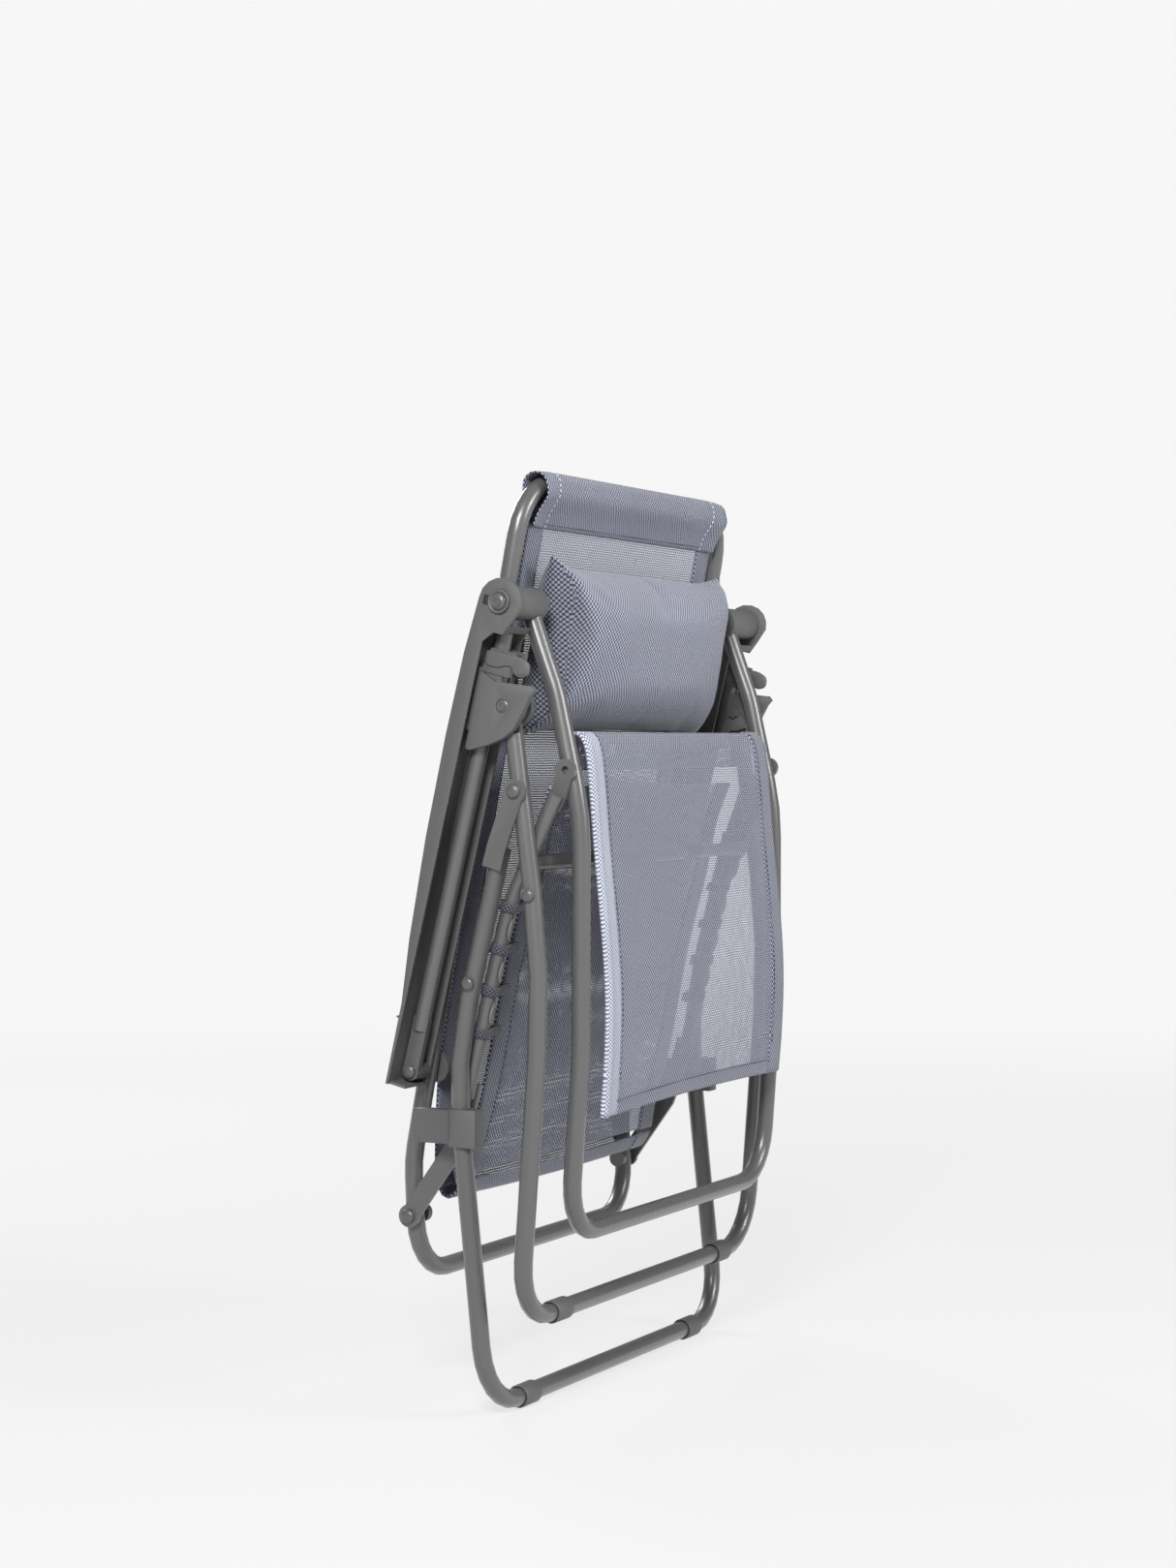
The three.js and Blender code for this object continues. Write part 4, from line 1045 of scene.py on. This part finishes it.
class CHAIR_OT_levers(bpy.types.Operator):
    """Lock levers: a clip beside the guide tube with a hooked finger tab and its raised pad"""

    bl_idname = "chair.levers"
    bl_label = "Lock levers"

    def execute(self, context):
        plastic = plastic_finish()
        hook = rounded([(0.0520, 0.0070), (0.0520, -0.0330), (0.0565, -0.0450), (0.0690, -0.0460), (0.0735, -0.0370),
                        (0.0715, -0.0290), (0.0640, -0.0250), (0.0650, -0.0160), (0.0685, -0.0100), (0.0690, 0.0070)], 0.0055)
        pad = rounded([(0.0555, -0.0310), (0.0575, -0.0425), (0.0680, -0.0435),
                       (0.0705, -0.0360), (0.0690, -0.0315), (0.0640, -0.0290)], 0.003)
        band = rounded([(0.0530, 0.0095), (0.0530, -0.0165), (0.0680, -0.0165), (0.0680, 0.0095)], 0.003)
        for name, side in SIDES:
            plate = moulded_plate("lever_plate_" + name, hook, side * 0.3135, side * 0.3185, plastic)
            rim = moulded_plate("lever_pad_" + name, pad, side * 0.3180, side * 0.3197, plastic, 0.0007)
            clip = moulded_plate("lever_clip_" + name, band, side * 0.3102, side * 0.3160, plastic)
            for piece in (clip, plate, rim):
                place(piece, "lever_" + name, "moulded_plastic")
            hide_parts("lock_lever_" + name)
        return {"FINISHED"}


class CHAIR_OT_armrest_details(bpy.types.Operator):
    """Moulded ribs along the armrests, and in each head a near-black plate that paints the shade inside the small
    opening
    """

    bl_idname = "chair.armrest_details"
    bl_label = "Armrest details"

    def execute(self, context):
        h = context.scene.chair_hardware
        plastic = plastic_finish()
        dark = grained("Dark opening", (0.012, 0.012, 0.012), 0.7, 900, 0.1)
        for name, side in SIDES:
            low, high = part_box("armrest_" + name)
            x = high.x if side > 0 else low.x
            ribs = []
            for k in range(8):
                a = 0.125 + h.rib_pitch * k
                ribs.append(moulded_plate(f"rib{k}", [(a, 0.0105), (a + 0.0022, 0.0105), (a + 0.0022, 0.0175), (a, 0.0175)],
                                          x + side * 0.0002, x - side * 0.0030, plastic, 0.0004))
            place(joined("armrest_ribs_" + name, ribs), "arm_" + name, "moulded_plastic")
            # painted shade: the near-black plate in the slot stands for the shade inside the opening, not for a dark
            # part
            slot = rounded([(-0.004, 0.0125), (-0.004, 0.0195), (0.0065, 0.0195), (0.0065, 0.0125)], 0.001)
            painted_shade_plate = moulded_plate("armrest_slot_" + name, slot, x + side * 0.0003, x - side * 0.001, dark, 0.0001)
            place(painted_shade_plate, "arm_" + name, "moulded_plastic")
        return {"FINISHED"}


# ---------------------------------------------------------------- stage


class CHAIR_OT_stage(bpy.types.Operator):
    """Pale floor, soft studio light and the camera"""

    bl_idname = "chair.stage"
    bl_label = "Stage"

    def execute(self, context):
        scene, st = context.scene, context.scene.chair_stage
        turns = 64
        vertices, faces = [(0, 0, 0)], []
        rings = (1.5, 4.0, 12.0, 40.0)
        for r in rings:
            for k in range(turns):
                w = 2 * math.pi * k / turns
                vertices.append((r * math.cos(w), r * math.sin(w), 0))
        for k in range(turns):
            n = (k + 1) % turns
            faces.append((0, 1 + k, 1 + n))
            for j in range(len(rings) - 1):
                a = 1 + j * turns
                faces.append((a + k, a + turns + k, a + turns + n, a + n))
        m, t, shader = new_material("Studio floor")
        noise = t.nodes.new("ShaderNodeTexNoise")
        noise.inputs["Scale"].default_value = 2
        tint = t.nodes.new("ShaderNodeMix")
        tint.data_type = "RGBA"
        tint.inputs[6].default_value = (*st.floor, 1)
        tint.inputs[7].default_value = (*[min(1, c * 1.015) for c in st.floor], 1)
        link(t, noise.outputs["Fac"], tint.inputs[0])
        spot = t.nodes.new("ShaderNodeNewGeometry")
        reach = t.nodes.new("ShaderNodeVectorMath")
        reach.operation = "LENGTH"
        link(t, spot.outputs["Position"], reach.inputs[0])
        near = t.nodes.new("ShaderNodeMapRange")
        near.interpolation_type = "SMOOTHSTEP"
        near.inputs[1].default_value, near.inputs[2].default_value = 0.8, 5.0
        near.inputs[3].default_value, near.inputs[4].default_value = 1.0, 0.0
        link(t, reach.outputs["Value"], near.inputs[0])
        link(t, toned(t, tint.outputs[2], near.outputs[0]), shader.inputs["Base Color"])
        spill = math_node(t, "MULTIPLY", near.outputs[0], st.spill)
        link(t, math_node(t, "SUBTRACT", BACKDROP, spill), shader.inputs["Emission Strength"])
        shader.inputs["Roughness"].default_value = 0.85
        shader.inputs["Specular IOR Level"].default_value = 0.0
        shader.inputs["Emission Color"].default_value = (1, 1, 1, 1)
        floor = add_object("studio_floor", vertices, faces, m, smooth=False)
        world = bpy.data.worlds.new("Studio")
        world.use_nodes = True
        tree = world.node_tree
        back = tree.nodes["Background"]
        back.inputs[0].default_value = (1, 1, 1, 1)
        back.inputs[1].default_value = st.ambient
        seen = tree.nodes.new("ShaderNodeBackground")
        seen.inputs[0].default_value = (BACKDROP, BACKDROP, BACKDROP, 1)
        ray = tree.nodes.new("ShaderNodeLightPath")
        pick = tree.nodes.new("ShaderNodeMixShader")
        link(tree, ray.outputs["Is Camera Ray"], pick.inputs[0])
        link(tree, back.outputs[0], pick.inputs[1])
        link(tree, seen.outputs[0], pick.inputs[2])
        link(tree, pick.outputs[0], tree.nodes["World Output"].inputs[0])
        scene.world = world
        for name, place_at, size, power in (
            ("Key", (-3.6, -1.2, 2.7), 1.1, st.key_power),
            ("Front", (0.4, -3.6, 2.2), 1.2, st.key_power * 0.45),
            ("Rim", (1.8, 2.6, 2.2), 1.4, st.key_power * 0.3),
        ):
            data = bpy.data.lights.new(name, "AREA")
            data.size, data.energy = size, power
            lamp = bpy.data.objects.new(name, data)
            lamp.location = place_at
            lamp.rotation_euler = (Vector(LAMP_AIM) - Vector(place_at)).to_track_quat("-Z", "Y").to_euler()
            scene.collection.objects.link(lamp)
        data = bpy.data.cameras.new("Camera")
        data.lens, data.sensor_width, data.sensor_fit = st.focal_length, 36, "AUTO"
        data.clip_end = 200
        cam = bpy.data.objects.new("Camera", data)
        yaw, dip = math.radians(CAMERA_YAW), math.radians(CAMERA_DIP)
        look = Vector((math.sin(yaw) * math.cos(dip), math.cos(yaw) * math.cos(dip), -math.sin(dip)))
        cam.location = CAMERA_AT
        cam.rotation_euler = look.to_track_quat("-Z", "Y").to_euler()
        scene.collection.objects.link(cam)
        scene.camera = cam
        scene.view_settings.view_transform = "Standard"
        return {"FINISHED"}


# ---------------------------------------------------------------- panel and run


PIECES = (
    "chair.frame_finishes", "chair.back_sling", "chair.seat_sling", "chair.legrest_sling", "chair.lacing",
    "chair.headrest", "chair.hardware", "chair.levers", "chair.armrest_details", "chair.stage",
)


class CHAIR_PT_panel(bpy.types.Panel):
    """The chair's pieces, one button each"""

    bl_idname = "CHAIR_PT_panel"
    bl_label = "Lounge chair"
    bl_space_type = "VIEW_3D"
    bl_region_type = "UI"
    bl_category = "Lounge Chair"

    def draw(self, context):
        for piece in PIECES:
            self.layout.operator(piece)
        for owner in (context.scene.chair_frame, context.scene.chair_fabric, context.scene.chair_padding,
                      context.scene.chair_hardware, context.scene.chair_stage):
            box = self.layout.box()
            for key in owner.bl_rna.properties.keys():
                if key not in ("rna_type", "name"):
                    box.prop(owner, key)


CLASSES = (
    ChairFrameFinish, ChairFabric, ChairPadding, ChairHardware, ChairStage,
    CHAIR_OT_frame_finishes, CHAIR_OT_back_sling, CHAIR_OT_seat_sling, CHAIR_OT_legrest_sling, CHAIR_OT_lacing,
    CHAIR_OT_headrest, CHAIR_OT_hardware, CHAIR_OT_levers, CHAIR_OT_armrest_details, CHAIR_OT_stage, CHAIR_PT_panel,
)


def register():
    for c in CLASSES:
        bpy.utils.register_class(c)
    bpy.types.Scene.chair_frame = bpy.props.PointerProperty(type=ChairFrameFinish)
    bpy.types.Scene.chair_fabric = bpy.props.PointerProperty(type=ChairFabric)
    bpy.types.Scene.chair_padding = bpy.props.PointerProperty(type=ChairPadding)
    bpy.types.Scene.chair_hardware = bpy.props.PointerProperty(type=ChairHardware)
    bpy.types.Scene.chair_stage = bpy.props.PointerProperty(type=ChairStage)


def unregister():
    for key in ("chair_frame", "chair_fabric", "chair_padding", "chair_hardware", "chair_stage"):
        delattr(bpy.types.Scene, key)
    for c in reversed(CLASSES):
        bpy.utils.unregister_class(c)


def main():
    register()
    for piece in PIECES:
        group, name = piece.split(".")
        getattr(getattr(bpy.ops, group), name)()


if __name__ == "__main__":
    main()
